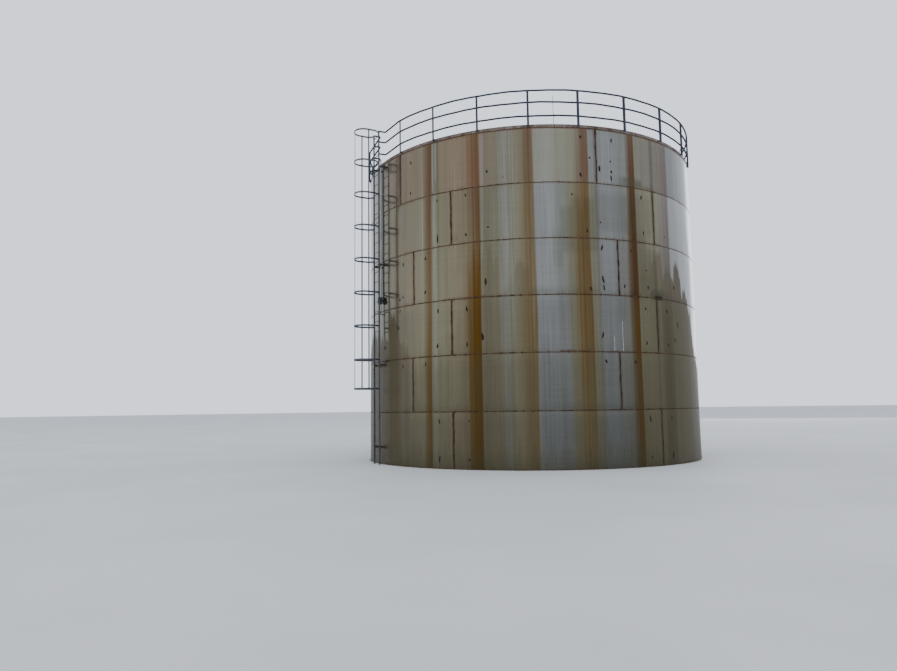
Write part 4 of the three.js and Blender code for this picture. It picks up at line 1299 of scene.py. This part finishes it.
def hoop_path(height):
    """From one stringer round the climber's back to the other."""
    face = STRINGER_FACE + HOOP_THICKNESS / 2
    radius = CAGE_HALF - HOOP_THICKNESS / 2
    half = [(face, STRINGER_BACK - 0.004), (face, LADDER_Y - 0.02), (face + 0.004, LADDER_Y - 0.035),
            (radius - 0.006, LADDER_Y - 0.14), (radius, LADDER_Y - 0.16)]
    half += [(radius * math.cos(turn), CAGE_CENTRE - radius * math.sin(turn)) for turn in quarter_turn(19)]
    return [(x, y, height) for x, y in half] + [(-x, y, height) for x, y in half[-2::-1]]


def cage():
    solid = Solid()
    bolts = Solid()
    upright = (HOOPS[0] - HOOP_WIDTH / 2, HOOPS[-1] + HOOP_WIDTH / 2)
    inner = CAGE_HALF - HOOP_THICKNESS
    side_y = CAGE_CENTRE + 0.04
    back = CAGE_BACK + HOOP_THICKNESS
    half = CAGE_BAR_WIDTH / 2
    width = (side_y - half, side_y + half)
    block(solid, (-half, back, upright[0]), (half, back + CAGE_BAR, upright[1]), None, 0.0012)
    for side in (-1, 1):
        side_bar(solid, side, (inner, inner - CAGE_BAR), width, upright, 0.0012)
    for height in HOOPS:
        sweep(solid, hoop_path(height), rectangle(HOOP_THICKNESS, HOOP_WIDTH))
        backwards = moved(0, CAGE_BACK, height) @ quarter("X")
        bolt(bolts, backwards, LADDER_BOLT, washer=False)
        for side in (-1, 1):
            side_bolt(bolts, side, CAGE_HALF, side_y, height, washer=False)
            side_bolt(bolts, side, STRINGER_FACE + HOOP_THICKNESS, LADDER_Y + 0.005, height)
    solid.dress("ladder_cage", LADDER)
    bolts.piece("ladder_cage_bolts", FASTENERS)


# Conduit and junction box

def conduit():
    low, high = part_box("conduit")
    pipe = CONDUIT_RADIUS * 0.9
    coupling = 0.04
    profile = [(0, low.z), (pipe, low.z)]
    for radius, offset in ((pipe, -coupling), (CONDUIT_RADIUS, 0.002 - coupling),
                           (CONDUIT_RADIUS, coupling - 0.002), (pipe, coupling)):
        profile.append((radius, CONDUIT_COUPLING + offset))
    profile += [(pipe, high.z), (0, high.z)]
    solid = Solid()
    lathe(solid, profile, 20, moved(CONDUIT_X, CONDUIT_Y, 0))
    wall = -SHELL_RADIUS - 0.001
    grip = 0.0235
    half = [(0.06, wall), (0.026, wall - 0.001)]
    strap = half + [(grip * math.cos(turn), CONDUIT_Y - grip * math.sin(turn)) for turn in half_turn()]
    strap += [(-x, y) for x, y in half[::-1]]
    for height in CONDUIT_CLIPS:
        sweep(solid, [(CONDUIT_X + x, y, height) for x, y in strap], rectangle(0.0025, 0.03))
    solid.dress("conduit", GALVANISED)


def junction_box():
    low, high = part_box("junction_box")
    front = low.y
    middle = (low.x + high.x) / 2
    box_low = high.z - BOX_HEIGHT
    centre = box_low + BOX_HEIGHT / 2
    mount = 0.03
    lid = 0.013
    clip = 0.012
    wall = -SHELL_RADIUS + 0.003
    solid = Solid()
    block(solid, (low.x + 0.002, front + 0.014, box_low), (high.x - 0.002, BOX_BACK, high.z), None, 0.006)
    block(solid, (low.x, front, box_low - 0.002), (high.x, front + lid, high.z), None, 0.004)
    block(solid, (middle - mount, BOX_BACK - 0.005, centre - mount), (middle + mount, wall, centre + mount))
    gland = [(0, -0.035), (0.011, -0.035), (0.016, -0.02), (0.016, -0.006), (0.021, -0.004), (0.021, 0.004),
             (0, 0.004)]
    lathe(solid, gland, 12, moved(middle, CABLE_Y, box_low))
    cable = []
    for share in np.linspace(0, 1, 20):
        x = middle + 0.006 * math.sin(share * 7)
        y = CABLE_Y + 0.004 * math.sin(share * 5)
        cable.append((x, y, box_low - 0.03 - share * (box_low - 0.03 - low.z - 0.02)))
    sweep(solid, cable, circle(0.008, 10), up=Vector((0, 1, 0)))
    block(solid, (middle - clip, CABLE_Y - clip, low.z), (middle + clip, wall, low.z + 2 * clip))
    solid.dress("junction_box", RAILS)
    screws = Solid()
    for x in (low.x + 0.012, high.x - 0.012):
        for z in (box_low + 0.012, high.z - 0.014):
            place = moved(x, front, z) @ quarter("X")
            lathe(screws, [(0, 0), (0.006, 0), (0.005, 0.003), (0, 0.0035)], 12, place)
    screws.piece("junction_box_screws", FASTENERS)


# Manhole and nozzles at the back

def wall_ring(radius, lift, sides):
    """A circle round an opening, laid on the shell, with local +X out of the tank."""
    return [(math.sqrt(SHELL_RADIUS ** 2 - y * y) + lift, y, z) for y, z in circle(radius, sides)]


def pad(solid, angle, height, inner, outer):
    """A reinforcing plate rolled to the shell round an opening."""
    sides = 64
    points = []
    profile = [(inner, -0.003), (inner, 0.008), (outer - 0.002, 0.008), (outer, 0.006), (outer, -0.003)]
    for radius, lift in profile:
        points += wall_ring(radius, lift, sides)
    solid.add(points, tube_faces(len(profile), sides, True), at_angle(angle, 0, height))


def manhole():
    bore = 0.295
    neck = 0.303
    flange = 0.37
    face = SHELL_RADIUS + MANHOLE_REACH
    under = face - 0.02
    root = SHELL_RADIUS - 0.03
    bevel = 0.002
    edge = flange - bevel
    place = facing_out(MANHOLE_ANGLE, MANHOLE_Z)
    solid = Solid()
    profile = [(bore, root), (neck, root), (neck, under - 0.006), (neck + 0.006, under), (edge, under),
               (flange, under + bevel), (flange, face - bevel), (edge, face), (bore, face)]
    lathe(solid, profile, 96, place, closed=True)
    pad(solid, MANHOLE_ANGLE, MANHOLE_Z, inner=0.3, outer=0.52)
    solid.dress("shell_manhole", FITTINGS)
    cover = Solid()
    low = face + 0.0003
    top = low + 0.016
    profile = [(0, low), (edge, low), (flange, face + bevel), (flange, top - bevel), (edge, top), (0, top)]
    lathe(cover, profile, 96, place)
    for side in (-1, 1):
        handle(cover, place @ moved(0.02 * side, 0.2 * side, top - 0.003), half=0.07, rise=0.05)
    cover.dress("manhole_cover", FITTINGS)
    bolts = Solid()
    bolt_ring(bolts, place, count=24, radius=0.338, height=top, size=0.014)
    bolt_ring(bolts, place, count=24, radius=0.338, height=under, size=0.014, under=True)
    bolts.piece("manhole_bolts", FASTENERS)
    collar = Solid()
    upright = at_angle(MANHOLE_ANGLE, 0, MANHOLE_Z)
    ring = [upright @ Vector(point) for point in wall_ring(0.304, 0.009, 96)]
    sweep(collar, ring, circle(0.007, 6), up=direction(MANHOLE_ANGLE), closed=True)
    collar.piece("manhole_collar_weld", BEAD, crease=80)


def nozzle(name):
    angle, height, pad_radius = NOZZLES[name]
    bore = 0.077
    pipe = 0.084
    flange = 0.142
    groove = flange - 0.003
    bevel = 0.002
    edge = flange - bevel
    face = SHELL_RADIUS + NOZZLE_REACH
    under = face - 0.044
    joint = face - 0.022
    root = SHELL_RADIUS - 0.03
    place = facing_out(angle, height)
    solid = Solid()
    lathe(solid, [
        (0, under), (bore, under), (bore, root), (pipe, root), (pipe, under - 0.018), (0.096, under),
        (edge, under), (flange, under + bevel), (flange, joint - 0.0015), (groove, joint - 0.0005),
        (groove, joint + 0.0005), (flange, joint + 0.0015), (flange, face - bevel), (edge, face), (0, face),
    ], 64, place)
    pad(solid, angle, height, pipe - 0.002, pad_radius)
    solid.dress(name, FITTINGS)
    bolts = Solid()
    bolt_ring(bolts, place, count=8, radius=0.118, height=face, size=0.011, offset=0.5)
    bolt_ring(bolts, place, count=8, radius=0.118, height=under, size=0.011, offset=0.5, under=True)
    bolts.piece(f"{name}_bolts", FASTENERS)


# Floor, light and camera

LOOK_AT = Vector((0, 0, 4.5))
CAMERA_ANGLE = 56.0
CAMERA_DISTANCE = 23.098
CAMERA_HEIGHT = 1.6035
CAMERA_YAW = math.radians(6.66)
CAMERA_PITCH = math.radians(6.01)
CAMERA_ROLL = math.radians(-0.77)
FOCAL_PIXELS = 690
IMAGE_WIDTH = 897


def floor():
    mesh = bpy.data.meshes.new("floor")
    mesh.from_pydata([(x, y, 0) for x, y in rectangle(800, 800)], [], [(0, 1, 2, 3)])
    mesh.materials.append(floor_material())
    made = linked("floor", mesh)


def soft_light(name, angle, distance, height, size, power):
    data = bpy.data.lights.new(name, "AREA")
    data.shape = "RECTANGLE"
    data.size, data.size_y = size
    data.energy = power
    made = linked(name, data)
    made.location = spot(angle, distance, height)
    made.rotation_euler = (LOOK_AT - made.location).to_track_quat("-Z", "Y").to_euler()


def lights():
    world = bpy.data.worlds.new("pale_sky")
    bpy.context.scene.world = world
    world.use_nodes = True
    background = world.node_tree.nodes["Background"]
    background.inputs["Color"].default_value = (0.90, 0.96, 1.06, 1)
    background.inputs["Strength"].default_value = 1.4
    soft_light("key", 215, 62, 16, (40, 30), 4500)
    soft_light("overhead", 56, 30, 60, (44, 44), 16000)


def camera():
    data = bpy.data.cameras.new("camera")
    data.sensor_fit = "HORIZONTAL"
    data.sensor_width = 36
    data.lens = FOCAL_PIXELS / IMAGE_WIDTH * data.sensor_width
    data.clip_end = 2000
    level = Matrix.Rotation(CAMERA_YAW, 3, "Z") @ -direction(CAMERA_ANGLE)
    right = Vector((level.y, -level.x, 0))
    ahead = level * math.cos(CAMERA_PITCH) + UP * math.sin(CAMERA_PITCH)
    above = right.cross(ahead)
    tilted_right = right * math.cos(CAMERA_ROLL) + above * math.sin(CAMERA_ROLL)
    tilted_up = above * math.cos(CAMERA_ROLL) - right * math.sin(CAMERA_ROLL)
    turn = Matrix((tilted_right, tilted_up, -ahead)).transposed()
    made = linked("camera", data)
    made.matrix_world = Matrix.Translation(spot(CAMERA_ANGLE, CAMERA_DISTANCE, CAMERA_HEIGHT)) @ turn.to_4x4()
    bpy.context.scene.camera = made


camera()
lights()
floor()
for course in range(COURSES):
    for plate in range(PLATES):
        shell_plate(course, plate)
welds()
scars()
drips()
bottom()
curb()
roof()
roof_manhole()
roof_vent()
lightning_rod()
for section in range(3):
    guardrail(section)
ladder()
cage()
conduit()
junction_box()
manhole()
for name in NOZZLES:
    nozzle(name)
